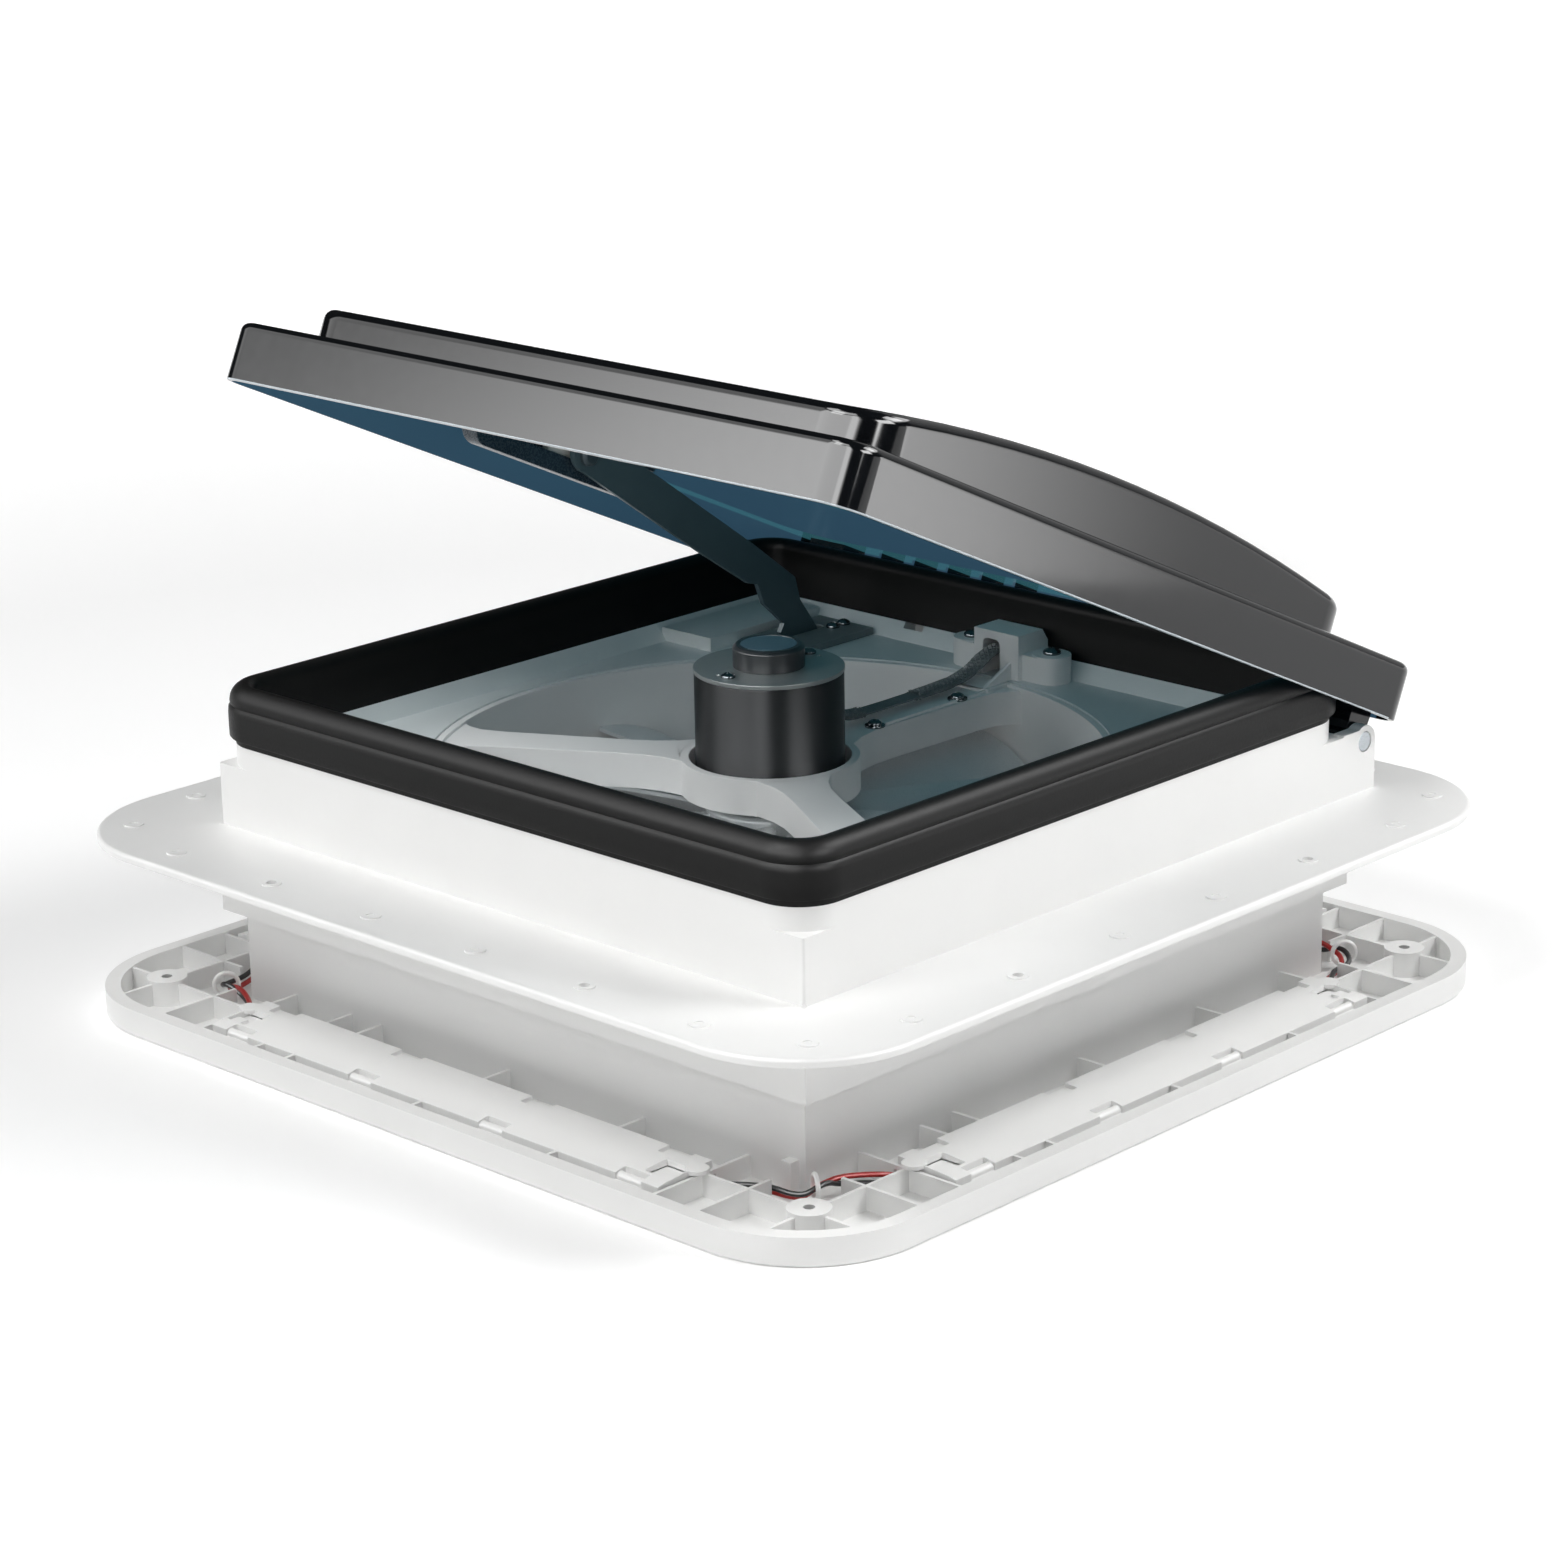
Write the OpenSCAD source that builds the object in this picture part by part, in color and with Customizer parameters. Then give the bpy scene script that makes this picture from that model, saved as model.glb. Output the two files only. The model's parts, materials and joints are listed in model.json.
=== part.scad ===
// Roof vent fan, all sizes in millimetres.
// Z is up, the roof opening is centred on the origin and the flange rests on the roof at z = 0.
// The lid opens towards -Y and is drawn open, turned about its rear pins.

/* [Roof flange] */
// Half width of the roof flange
flange_half = 231; // [229:0.5:234]
// Corner radius of the roof flange
flange_corner = 58; // [54:1:60]
// Thickness of the roof flange
flange_thick = 4; // [3.5:0.1:4.5]
// Diameter of the open screw holes
flange_hole = 4.5; // [3.8:0.1:5.2]
// Distance of the screw lines from the flange edge
flange_edge = 16.1; // [15:0.1:19]
// Spacing of the screw holes along a line
flange_pitch = 63.1; // [60:0.1:65]

/* [Box and skirt] */
// Half width of the upright box, outside
box_half = 175.3; // [175:0.1:175.6]
// Wall thickness of the box
box_wall = 3; // [2.6:0.1:3.2]
// Depth of the skirt below the roof
skirt_depth = 36.2; // [32:0.2:40]
// Diameter of the lid hinge pins
hinge_pin = 5; // [4:0.1:6]

/* [Fan] */
// Distance from the box wall to the round fan opening
throat_gap = 25.3; // [24.7:0.1:25.7]
// Gap between the blade tips and the fan opening
blade_gap = 1.5; // [1:0.5:7]
// Number of fan blades
blade_count = 10; // [8:1:11]
// Diameter of the fan motor
motor_d = 65.6; // [62:0.2:67]
// Height of the top of the motor above the roof
motor_top = 72.5; // [68:0.5:76]
// Diameter of the motor shaft
motor_shaft_d = 8; // [6:0.2:10]

/* [Lid] */
// Wall thickness of the lid
lid_wall = 2.5; // [2.2:0.1:2.8]
// Highest point of the closed lid above the roof
lid_top = 94; // [93:0.2:97]

/* [Lift] */
// Thickness of the lift arm
arm_thick = 3; // [2.4:0.1:3.2]
// Diameter of the pin between arm and slider
arm_pin_d = 4; // [3.4:0.1:4.4]
// Length of the slider in its track
slider_len = 37; // [30:1:40]

/* [Trim ring] */
// Half width of the trim ring
trim_half = 231; // [229:0.5:234]
// Height of the trim ring rim
trim_height = 12.4; // [12:0.1:13]
// Diameter of the trim screw holes
trim_hole = 4.4; // [3.6:0.1:5]
// Length of each light bar
bar_len = 272; // [268:0.5:272]

/* [Fits] */
// Radial clearance of turning pins
pin_clear = 0.05; // [0.03:0.01:0.1]
// Clearance between sliding or nested parts
fit_gap = 0.3; // [0.3:0.05:0.5]

/* [Hidden] */

$fn = 64;
lidOpen = 24.7;
boxStep = box_half - 175.3;
hingeY = box_half + 13.9;
hingeZ = 26.6;
boxIn = box_half - box_wall;
skirtHalf = box_half + 1.2;
skirtIn = skirtHalf - 3;
flangeLine = flange_half - flange_edge;
lidHalf = box_half + 8.2;
lidLong = box_half + 27.7;
ledgeZ = 32;
deckZ = 34;
deckT = 2.5;
neckTop = 57;
fanY = -9;
throatR = boxIn - throat_gap;
throatOut = throatR + 3.5;
bladeTip = throatR - blade_gap;
hubTop = 32;
hubBottom = 16;
hubFloor = 19;
pinionY = 139;
pinionZ = -2;
pivotY = 139;
pivotZ = 28;
armX = -115;
tipY = -5.5;
tipZ = 148.5;
bridgeY = boxIn - 18.3;
toothModule = 1.25;
trimZ = -68;
trimBottom = trimZ - trim_height;
trimFloor = trimBottom + 2;
throatHalf = skirtIn - 4.4;
trimThroatIn = throatHalf - 2.2;
ringRoom = (trim_half - throatHalf) / 61.9;
bossAt = ringAt(26.3);
barIn = ringAt(18.5);
barEnd = bar_len / 2;

// Place in the trim ring, d outwards from its inner wall at the drawn width
function ringAt(d) = throatHalf + d * ringRoom;

// Place of a wire point: with the end of a light bar, over the corner, then with the bar's side
function wireAt(v) = v <= 141 ? v - 136 + barEnd
    : v >= 187.6 ? v - 187.6 + barIn
    : v >= 169.1 ? ringAt(v - 169.1)
    : barEnd + 5 + (v - 141) * (throatHalf - barEnd - 5) / 28.1;
function cornerPath(p) = [for (q = p) [wireAt(q[0]), -wireAt(-q[1]), q[2]]];

// Flat outlines

module roundedBox(hx, hy, r) {
    square([2 * hx - 2 * r, 2 * hy], center = true);
    square([2 * hx, 2 * hy - 2 * r], center = true);
    for (sx = [-1, 1], sy = [-1, 1]) {
        translate([sx * (hx - r), sy * (hy - r)]) circle(r = r);
    }
}

// Child outline drawn in y and z, pulled along x from x0
module alongX(x0, w) {
    translate([x0, 0, 0]) rotate([90, 0, 90]) linear_extrude(w) children();
}

// Child outline swept round a square with rounded corners. Its x is the distance from the
// middle of the square, less the distance of the corner centres, which is "mid"
module sweepSquare(mid) {
    for (a = [0:90:270]) {
        rotate([0, 0, a]) {
            translate([mid, mid, 0]) rotate_extrude(angle = 90) children();
            translate([mid, mid, 0]) rotate([90, 0, 0]) linear_extrude(2 * mid) children();
        }
    }
}

module fourSides() {
    for (a = [0:90:270]) {
        rotate([0, 0, a]) children();
    }
}

// Parts of the lift stand at the rear left corner of the box and move with it
module atLift() {
    translate([-boxStep, boxStep, 0]) children();
}

module atLid() {
    translate([0, hingeY, hingeZ]) rotate([-lidOpen, 0, 0]) translate([0, -hingeY, -hingeZ]) children();
}

module domedScrew(r, h) {
    cylinder(r = r, h = h * 0.4);
    translate([0, 0, h * 0.4]) intersection() {
        cylinder(r = r, h = h * 0.6);
        translate([0, 0, -r * r / (1.2 * h) + 0.3 * h]) sphere(r = r * r / (1.2 * h) + 0.3 * h);
    }
}

// Roof flange with box, skirt and hinge ears

module flangeHoles(r, h) {
    for (a = [0:90:270]) {
        rotate([0, 0, a]) {
            for (k = [-2.5:1:2.5]) {
                translate([k * flange_pitch, flangeLine, 0]) cylinder(r = r, h = h);
            }
            translate([flange_half - 28.3, flange_half - 28.3, 0]) cylinder(r = r, h = h);
        }
    }
}

module openHoles(r, h) {
    for (a = [0:90:270], k = [-1.5, 1.5]) {
        rotate([0, 0, a]) translate([k * flange_pitch, flangeLine, -h / 2])
            cylinder(r = r, h = h);
    }
}

module ear(x0, w) {
    alongX(x0, w) {
        translate([box_half - 2, flange_thick - 1])
            square([hingeY + 7.5 - box_half + 2, hingeZ - flange_thick + 1]);
        translate([hingeY, hingeZ]) circle(r = 7.5);
        translate([box_half - 2, hingeZ - 2]) square([hingeY - box_half + 2, 8]);
    }
}

module base_flange() {
    color("#d9d9d7") difference() {
        union() {
            difference() {
                union() {
                    linear_extrude(flange_thick) roundedBox(flange_half, flange_half, flange_corner);
                    flangeHoles(4.35, flange_thick + 0.7);
                    translate([0, 0, -skirt_depth]) linear_extrude(skirt_depth + 1)
                        square(2 * skirtHalf, center = true);
                    translate([0, 0, 1]) linear_extrude(ledgeZ - 1) square(2 * box_half, center = true);
                    translate([0, 0, ledgeZ - 1]) linear_extrude(neckTop - ledgeZ + 1)
                        roundedBox(box_half, box_half, 20);
                }
                translate([0, 0, -1]) linear_extrude(ledgeZ) square(2 * boxIn, center = true);
                translate([0, 0, ledgeZ - 3]) linear_extrude(neckTop)
                    roundedBox(boxIn, boxIn, 20 - box_wall);
                translate([0, 0, -skirt_depth - 1]) linear_extrude(skirt_depth + 1)
                    square(2 * skirtIn, center = true);
                translate([0, 0, 2]) flangeHoles(1.9, 10);
            }
            difference() {
                translate([0, 0, deckZ - deckT - 4]) linear_extrude(4) difference() {
                    square(2 * boxIn + 1, center = true);
                    square(2 * boxIn - 8, center = true);
                }
                translate([0, fanY, 0]) cylinder(r = throatOut + 11, h = 60);
            }
            fourSides() for (k = [-120, 0, 120]) {
                translate([k - 1.5, throatHalf + 0.05, -skirt_depth])
                    cube([3, skirtIn - throatHalf + 0.5, skirt_depth - 1]);
            }
            for (s = [-1, 1]) {
                ear(s * (box_half - 3) - 3, 6);
                ear(s * (box_half - 33.3) - 3, 6);
            }
        }
        openHoles(flange_hole / 2, 30);
        for (s = [-1, 1]) {
            translate([s * (box_half - 18), hingeY, hingeZ]) rotate([0, 90, 0])
                cylinder(r = hinge_pin / 2 + pin_clear, h = 60, center = true);
            translate([s * (box_half - 1.2), hingeY, hingeZ]) rotate([0, 90, 0])
                cylinder(r = 4.8, h = 2.6, center = true);
        }
    }
}

// Deck with its sloped border, under the lid

module fan_deck() {
    rimOut = boxIn - 0.1;
    color("#d4d8da") difference() {
        union() {
            translate([0, 0, deckZ - deckT]) linear_extrude(deckT) square(2 * boxIn - 22, center = true);
            sweepSquare(rimOut - 16.9) translate([-rimOut + 16.9, 0]) polygon([
                [boxIn - 12.3, deckZ - deckT], [rimOut, deckZ - deckT], [rimOut, 42],
                [boxIn - 7.3, 42], [boxIn - 12.3, deckZ]]);
            translate([-boxIn + 10, boxIn - 85.3, deckZ - 1]) cube([32.3, 76, 7.5]);
        }
        translate([0, fanY, 0]) cylinder(r = throatOut + 0.2, h = 60);
        atLift() {
            translate([-119, 99, 20]) cube([7.6, 48, 30]);
            translate([-124, 127.5, 20]) cube([25.5, 23, 13.7]);
            translate([-123, 128.6, 20]) cube([3, 21.3, 30]);
            translate([-102.5, 128.6, 20]) cube([3, 21.3, 30]);
            for (y = [148, 155.6]) {
                translate([-107.6, y, 20]) cylinder(r = 1.6, h = 16);
            }
        }
        translate([-3, bridgeY + 1, 20]) cylinder(r = 4.6, h = 30);
        translate([-76, boxIn - 9, deckZ]) cube([12, 10, 20]);
        for (x = [-24, 24]) {
            translate([x, bridgeY, 20]) cylinder(r = 1.6, h = 16);
        }
    }
}

// Fan ring with hub and three arms

module spiderArm() {
    linear_extrude(hubTop) polygon([[30, -19], [38, -16], [46, -12.6], [56, -10.7], [68, -10.3],
        [throatR - 21, -11.6], [throatR - 11, -13], [throatR - 4, -17], [throatR + 1.5, -24],
        [throatR + 1.5, 24], [throatR - 4, 17], [throatR - 11, 13], [throatR - 21, 11.6],
        [68, 10.3], [56, 10.7], [46, 12.6], [38, 16], [30, 19]]);
}

module venturi_spider() {
    color("#dcdddc") translate([0, fanY, 0]) difference() {
        union() {
            translate([0, 0, -8]) difference() {
                cylinder(r = throatOut, h = deckZ + 7.4);
                translate([0, 0, -1]) cylinder(r = throatR, h = 60);
            }
            translate([0, 0, deckZ - deckT - 3]) difference() {
                cylinder(r = throatOut + 10, h = 3);
                translate([0, 0, -1]) cylinder(r = throatOut - 1, h = 6);
            }
            translate([0, 0, hubBottom]) cylinder(r = 39.5, h = hubTop - hubBottom);
            for (a = [90, 210, 330]) {
                rotate([0, 0, a]) difference() {
                    spiderArm();
                    translate([0, -30, -1]) cube([200, 60, hubBottom + 1]);
                }
            }
            rotate([0, 0, 90]) translate([throatR - 14, -11, hubTop - 1])
                cube([15.4, 22, deckZ - hubTop + 1]);
            for (s = [-1, 1]) {
                rotate([0, 0, 90]) translate([62, s * 8.9 - 0.9, hubTop - 2]) cube([throatR - 75, 1.8, 3.4]);
            }
        }
        translate([0, 0, hubFloor]) cylinder(r = 35.7, h = 40);
        translate([0, 0, 1]) cylinder(r = 11, h = 40);
        for (a = [45:90:315]) {
            rotate([0, 0, a]) translate([throatOut + 5.5, 0, 20]) cylinder(r = 2.1, h = 20);
        }
        for (y = [52 - fanY, throatR - 39 - fanY]) {
            translate([6.5, y, 20]) cylinder(r = 1.6, h = 20);
            translate([6.5, y, hubTop]) cylinder(r = 4.9, h = 10);
        }
    }
}

module throat_screws() {
    color("#b9bcbf") for (a = [45:90:315]) {
        translate([0, fanY, 0]) rotate([0, 0, a]) translate([throatOut + 5.5, 0, deckZ - deckT - 3]) {
            rotate([180, 0, 0]) domedScrew(3.6, 2.4);
            cylinder(r = 1.9, h = 2.9);
        }
    }
}

// Bulb seal over the top edge of the box

module lid_gasket() {
    color("#2b2b2b") sweepSquare(boxIn - 17) translate([-boxIn + 17, 0]) {
        difference() {
            union() {
                polygon([[boxIn - 7.3, 42], [box_half + 0.2, 42], [box_half + 0.2, 45],
                    [box_half + 2.7, 45], [box_half + 2.7, 59], [box_half + 1.1, 63.6],
                    [box_half - 1.5, 66.4], [boxIn - 4, 66.4], [boxIn - 5.5, 61]]);
                translate([boxIn - 1.1, 63.8]) circle(r = 4.7);
            }
            translate([boxIn - 0.05, 30]) square([box_wall + 0.1, neckTop + 0.05 - 30]);
            translate([box_half - 0.05, 30]) square([5, 15]);
        }
    }
}

module hinge_pins() {
    color("#c6c8ca") for (s = [-1, 1]) {
        mirror([s < 0 ? 1 : 0, 0, 0]) translate([0, hingeY, hingeZ]) rotate([0, 90, 0]) {
            translate([0, 0, box_half - 37]) cylinder(r = hinge_pin / 2, h = 36);
            translate([0, 0, box_half - 2.5]) cylinder(r = 4.4, h = 2.2);
        }
    }
}

// Lid, drawn closed and then turned open

module crown(r) {
    translate([0, -3, lid_top - 1086]) rotate([0, 90, 0])
        cylinder(r = r, h = 500, center = true, $fn = 720);
}

module lidLug(x0, w) {
    alongX(x0, w) {
        translate([hingeY, hingeZ]) circle(r = 7.5);
        polygon([[hingeY - 6.5, hingeZ], [hingeY + 7.4, hingeZ], [hingeY + 10, 50],
            [hingeY + 10, 64], [hingeY - 6.5, 64]]);
    }
}

module lid_shell() {
    color("#3d4248") atLid() difference() {
        union() {
            difference() {
                union() {
                    translate([0, 2, 38.8]) linear_extrude(26.2) roundedBox(lidHalf, lidLong, 15);
                    intersection() {
                        translate([0, -3.5, 60]) linear_extrude(40)
                            roundedBox(lidHalf - 18, lidLong - 27.5, 25);
                        crown(1086);
                    }
                }
                translate([0, 2, 30]) linear_extrude(35 - lid_wall)
                    roundedBox(lidHalf - lid_wall, lidLong - lid_wall, 15 - lid_wall);
                intersection() {
                    translate([0, -3.5, 50]) linear_extrude(60)
                        roundedBox(lidHalf - 18 - lid_wall, lidLong - 27.5 - lid_wall, 25 - lid_wall);
                    crown(1086 - lid_wall);
                }
            }
            for (s = [-1, 1]) {
                lidLug(s * (box_half - 18.15) - 11.25, 22.5);
            }
            for (x = [-123.6, -102, -80.5, -59, -38]) {
                translate([x - 0.8, hingeY - 4.2, 57]) cube([1.6, 18.5, 7]);
            }
            for (y = [-92, -46, 0]) {
                intersection() {
                    atLift() translate([-108, y, 84]) cylinder(r = 5.5, h = 20);
                    crown(1085);
                }
            }
        }
        for (s = [-1, 1]) {
            translate([s * (box_half - 18), hingeY, hingeZ]) rotate([0, 90, 0])
                cylinder(r = hinge_pin / 2 + pin_clear, h = 60, center = true);
        }
        atLift() for (y = [-92, -46, 0]) {
            translate([-108, y, 80]) cylinder(r = 1.4, h = 8);
        }
    }
}

// Track under the lid, open towards +X

module lid_rail() {
    color("#4a5058") atLid() atLift() difference() {
        union() {
            alongX(-127, 9.7) {
                translate([-97, 44]) square([107, 26]);
                translate([-97, 53]) circle(r = 9);
                translate([-106, 53]) square([10, 17]);
            }
            alongX(-127, 2.2) {
                translate([-106, 60]) square([116, 24]);
            }
            translate([-127, -100, 81.8]) cube([26, 106, 2.2]);
        }
        alongX(-124.8, 5.5) {
            translate([-103, 55.7 - 5.5 - fit_gap * 2]) square([120, 11 + 4 * fit_gap]);
        }
        alongX(-120, 5) {
            translate([-103, 56 - 3 - 2 * fit_gap]) square([120, 6 + 4 * fit_gap]);
        }
        for (y = [-92, -46, 0]) {
            translate([-108, y, 80]) cylinder(r = 1.7, h = 8);
        }
    }
}

module rail_screws() {
    color("#c6c8ca") atLid() atLift() for (y = [-92, -46, 0]) {
        translate([-108, y, 81.8]) {
            rotate([180, 0, 0]) domedScrew(3.4, 2.4);
            cylinder(r = 1.35, h = 5.5);
        }
    }
}

// Lift arm and its shaft

module lift_arm() {
    color("#3f5162") atLift() difference() {
        alongX(armX - arm_thick / 2, arm_thick) {
            polygon([[-10, 142.1], [66.8, 88.2], [96.3, 68.5], [103, 66.5], [107, 56], [120.4, 44],
                [117.9, 39.7], [132.6, 23.8], [139, 20.6], [146.4, 29], [143, 38.1], [132, 53.3],
                [128.7, 65.1], [100.1, 87], [34.1, 133.8], [0.8, 157.5]]);
            translate([-4.6, 149.8]) circle(r = 9.4);
            translate([pivotY, pivotZ]) circle(r = 7.4);
        }
        translate([armX, tipY, tipZ]) rotate([0, 90, 0])
            cylinder(r = arm_pin_d / 2 + 0.02, h = 20, center = true);
        translate([armX, pivotY, pivotZ]) rotate([0, 90, 0])
            cylinder(r = 2.52, h = 20, center = true);
    }
}

module arm_shaft() {
    color("#aeb2b6") atLift() translate([-124.4, pivotY, pivotZ]) rotate([0, 90, 0]) {
        cylinder(r = 2.5, h = 25.6);
        translate([0, 0, 5.7]) difference() {
            cylinder(r = 5, h = armX - arm_thick / 2 + 124.4 - 5.7);
            translate([0, 0, -1]) cylinder(r = 2.4, h = 10);
        }
    }
}

module arm_pin() {
    color("#2f3338") atLift() translate([0, tipY, tipZ]) rotate([0, 90, 0]) {
        translate([0, 0, -122]) cylinder(r = arm_pin_d / 2, h = 122 + armX + arm_thick / 2 + 1);
        translate([0, 0, armX + arm_thick / 2]) cylinder(r = 5, h = 2);
        translate([0, 0, armX + arm_thick / 2 + 2]) cylinder(r1 = 5, r2 = 3.6, h = 1.4);
    }
}

module track_slider() {
    color("#e8e8e4") atLift() translate([0, tipY, tipZ]) rotate([-lidOpen, 0, 0]) difference() {
        union() {
            translate([-124.3, -slider_len / 2, -5.5 - 0.3]) cube([4.4, slider_len, 11]);
            rotate([0, 90, 0]) translate([0, 0, -121]) cylinder(r = 3, h = 4.1);
        }
        rotate([0, 90, 0]) translate([0, 0, -122.1])
            cylinder(r = arm_pin_d / 2 + pin_clear, h = 10);
    }
}

// Lift bracket, gears and drive below the deck

module lift_bracket() {
    color("#4b525a") atLift() difference() {
        union() {
            translate([-128, 105, deckZ]) cube([36, 55, 3.4]);
            translate([-122.5, 129, pinionZ - 13]) cube([2, 20.5, deckZ - pinionZ + 14]);
            translate([-102, 129, 12]) cube([2, 20.5, deckZ - 11]);
        }
        translate([-118.6, 104, deckZ - 1]) cube([6.8, 43, 10]);
        translate([-130, pivotY, pivotZ]) rotate([0, 90, 0]) cylinder(r = 2.5 + pin_clear, h = 40);
        translate([-130, pinionY, pinionZ]) rotate([0, 90, 0]) cylinder(r = 2 + pin_clear, h = 20);
        for (y = [148, 155.6]) {
            translate([-107.6, y, 30]) cylinder(r = 1.7, h = 12);
        }
    }
}

module bracket_screws() {
    color("#c6c8ca") atLift() for (y = [148, 155.6]) {
        translate([-107.6, y, deckZ + 3.4]) {
            domedScrew(3.3, 2.6);
            translate([0, 0, -5.4]) cylinder(r = 1.5, h = 5.6);
        }
    }
}

module toothShape(r) {
    add = 0.8 * toothModule;
    ded = 1.15 * toothModule;
    half = 0.785 * toothModule - 0.15;
    polygon([[r - ded - 0.4, -half - 0.32], [r - ded - 0.4, half + 0.32],
        [r, half], [r + add, half - 0.42], [r + add, -half + 0.42], [r, -half]]);
}

module sector_gear() {
    r = 18 * toothModule;
    color("#e6e4dc") atLift() difference() {
        union() {
            alongX(-110.6, 5) translate([pivotY, pivotZ]) circle(r = 5.3);
            intersection() {
                alongX(-110.6, 5) translate([pivotY, pivotZ]) circle(r = r - 1.15 * toothModule);
                alongX(-111.6, 7) translate([pivotY, pivotZ]) polygon([[0, 3], [-3, 2], [-30, -29],
                    [-20, -40], [14, -40], [3, 2]]);
            }
            for (a = [230:10:290]) {
                alongX(-110.6, 5) translate([pivotY, pivotZ]) rotate(a) toothShape(r);
            }
        }
        translate([-120, pivotY, pivotZ]) rotate([0, 90, 0]) cylinder(r = 2.52, h = 20);
    }
}

module lift_pinion() {
    color("#e6e4dc") atLift() {
        alongX(-111, 6) translate([pinionY, pinionZ]) {
            circle(r = 6 * toothModule - 1.15 * toothModule);
            for (a = [0:30:330]) {
                rotate(a + 15) toothShape(6 * toothModule);
            }
        }
        translate([-126, pinionY, pinionZ]) rotate([0, 90, 0]) cylinder(r = 2, h = 16);
    }
}

module lift_gearbox() {
    color("#33373b") atLift() difference() {
        translate([-138, pinionY - 13, pinionZ - 13]) cube([15.5, 26, 26]);
        translate([-128, pinionY, pinionZ]) rotate([0, 90, 0]) cylinder(r = 2.4, h = 10);
    }
}

module lift_motor() {
    color("#b4b8bc") atLift() translate([-162, pinionY, pinionZ]) rotate([0, 90, 0]) {
        cylinder(r = 11, h = 24);
        translate([0, 0, -2]) cylinder(r = 4, h = 3);
    }
}

// Fan motor

module motor_can() {
    color("#1d1e20") translate([0, fanY, 0]) difference() {
        union() {
            translate([0, 0, hubFloor]) cylinder(r = motor_d / 2, h = motor_top - 2 - hubFloor);
            translate([0, 0, hubFloor - 4]) cylinder(r = 9, h = 5);
        }
        translate([0, 0, 10]) cylinder(r = motor_shaft_d / 2 + pin_clear, h = 30);
    }
}

module motor_end_plate() {
    color("#4a4d50") translate([0, fanY, motor_top - 2]) difference() {
        cylinder(r = motor_d / 2 + 0.3, h = 2);
        for (s = [-1, 1]) {
            translate([0, s * 25.5, -1]) cylinder(r = 1.7, h = 6);
            translate([s * 6, s * 26, 1]) cylinder(r = 0.9, h = 6);
        }
    }
}

module motor_cap() {
    color("#232426") translate([0, fanY, motor_top]) difference() {
        union() {
            cylinder(r = 15.8, h = 8.5);
            translate([0, 0, 8.5]) cylinder(r1 = 15.8, r2 = 14.3, h = 1.5);
        }
        translate([0, 0, 9.7]) cylinder(r = 12.6, h = 2);
    }
}

module motor_screws() {
    color("#c6c8ca") for (s = [-1, 1]) {
        translate([0, fanY + s * 25.5, motor_top]) {
            domedScrew(3.2, 2.4);
            translate([0, 0, -1.9]) cylinder(r = 1.5, h = 2.2);
        }
    }
}

module motor_shaft() {
    color("#c3c6c9") translate([0, fanY, -14]) cylinder(r = motor_shaft_d / 2, h = 50);
}

// Fan wheel

module blade() {
    intersection() {
        translate([0, 0, -11]) linear_extrude(24) polygon([[24, -7], [24, 7], [60, 17],
            [bladeTip - 45.5, 26], [bladeTip + 4.5, 33], [bladeTip + 4.5, -24],
            [bladeTip - 45.5, -23], [60, -17]]);
        rotate([20, 0, 0]) translate([20, 0, -66]) rotate([0, 90, 0]) difference() {
            cylinder(r = 67.4, h = bladeTip - 15.5);
            translate([0, 0, -1]) cylinder(r = 65.6, h = bladeTip);
        }
        cylinder(r = bladeTip, h = 60, center = true);
    }
}

module impeller() {
    color("#b9bcc0") translate([0, fanY, 0]) difference() {
        union() {
            translate([0, 0, -9]) cylinder(r = 29, h = 20);
            for (k = [0:blade_count - 1]) {
                rotate([0, 0, k * 360 / blade_count + 12]) blade();
            }
        }
        translate([0, 0, -10]) difference() {
            cylinder(r = 26.5, h = 18);
            cylinder(r = 8, h = 30);
        }
        translate([0, 0, -20]) cylinder(r = motor_shaft_d / 2 + 0.02, h = 60);
    }
}

module impeller_nut() {
    color("#c6c8ca") translate([0, fanY, -12.4]) difference() {
        cylinder(r = 6.5, h = 3.4, $fn = 6);
        translate([0, 0, -1]) cylinder(r = motor_shaft_d / 2 + 0.02, h = 10);
    }
}

// Cable entry on the deck

module bridgeSide() {
    polygon([[boxIn - 29.7, deckZ], [boxIn - 12.5, deckZ], [boxIn - 8.4, deckZ + 6.6],
        [boxIn - 8.4, 50], [boxIn - 12.3, 55.6], [boxIn - 29.7, 55.6]]);
}

module cable_bridge() {
    color("#dadbda") difference() {
        union() {
            alongX(-13.5, 27) bridgeSide();
            intersection() {
                union() {
                    for (s = [-1, 1]) {
                        translate([s * 24, bridgeY, deckZ]) cylinder(r = 9, h = 13);
                    }
                    translate([-24, bridgeY - 9, deckZ]) cube([48, 18, 12.5]);
                }
                alongX(-40, 80) bridgeSide();
            }
            for (x = [-12, 7.2]) {
                alongX(x, 2) polygon([[bridgeY - 30, deckZ], [bridgeY - 11, deckZ], [bridgeY - 11, 42.5]]);
            }
        }
        translate([-8, bridgeY - 14, 30]) cube([10, 19.6, 16.5]);
        translate([-3, bridgeY - 14, 46.5]) rotate([-90, 0, 0]) cylinder(r = 5, h = 19.6);
        for (s = [-1, 1]) {
            translate([s * 24, bridgeY, 30]) cylinder(r = 1.7, h = 20);
        }
    }
}

module bridge_screws() {
    color("#c6c8ca") for (s = [-1, 1]) {
        translate([s * 24, bridgeY, deckZ + 13]) {
            domedScrew(4.2, 3);
            translate([0, 0, -14]) cylinder(r = 1.5, h = 14.2);
        }
    }
}

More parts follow.
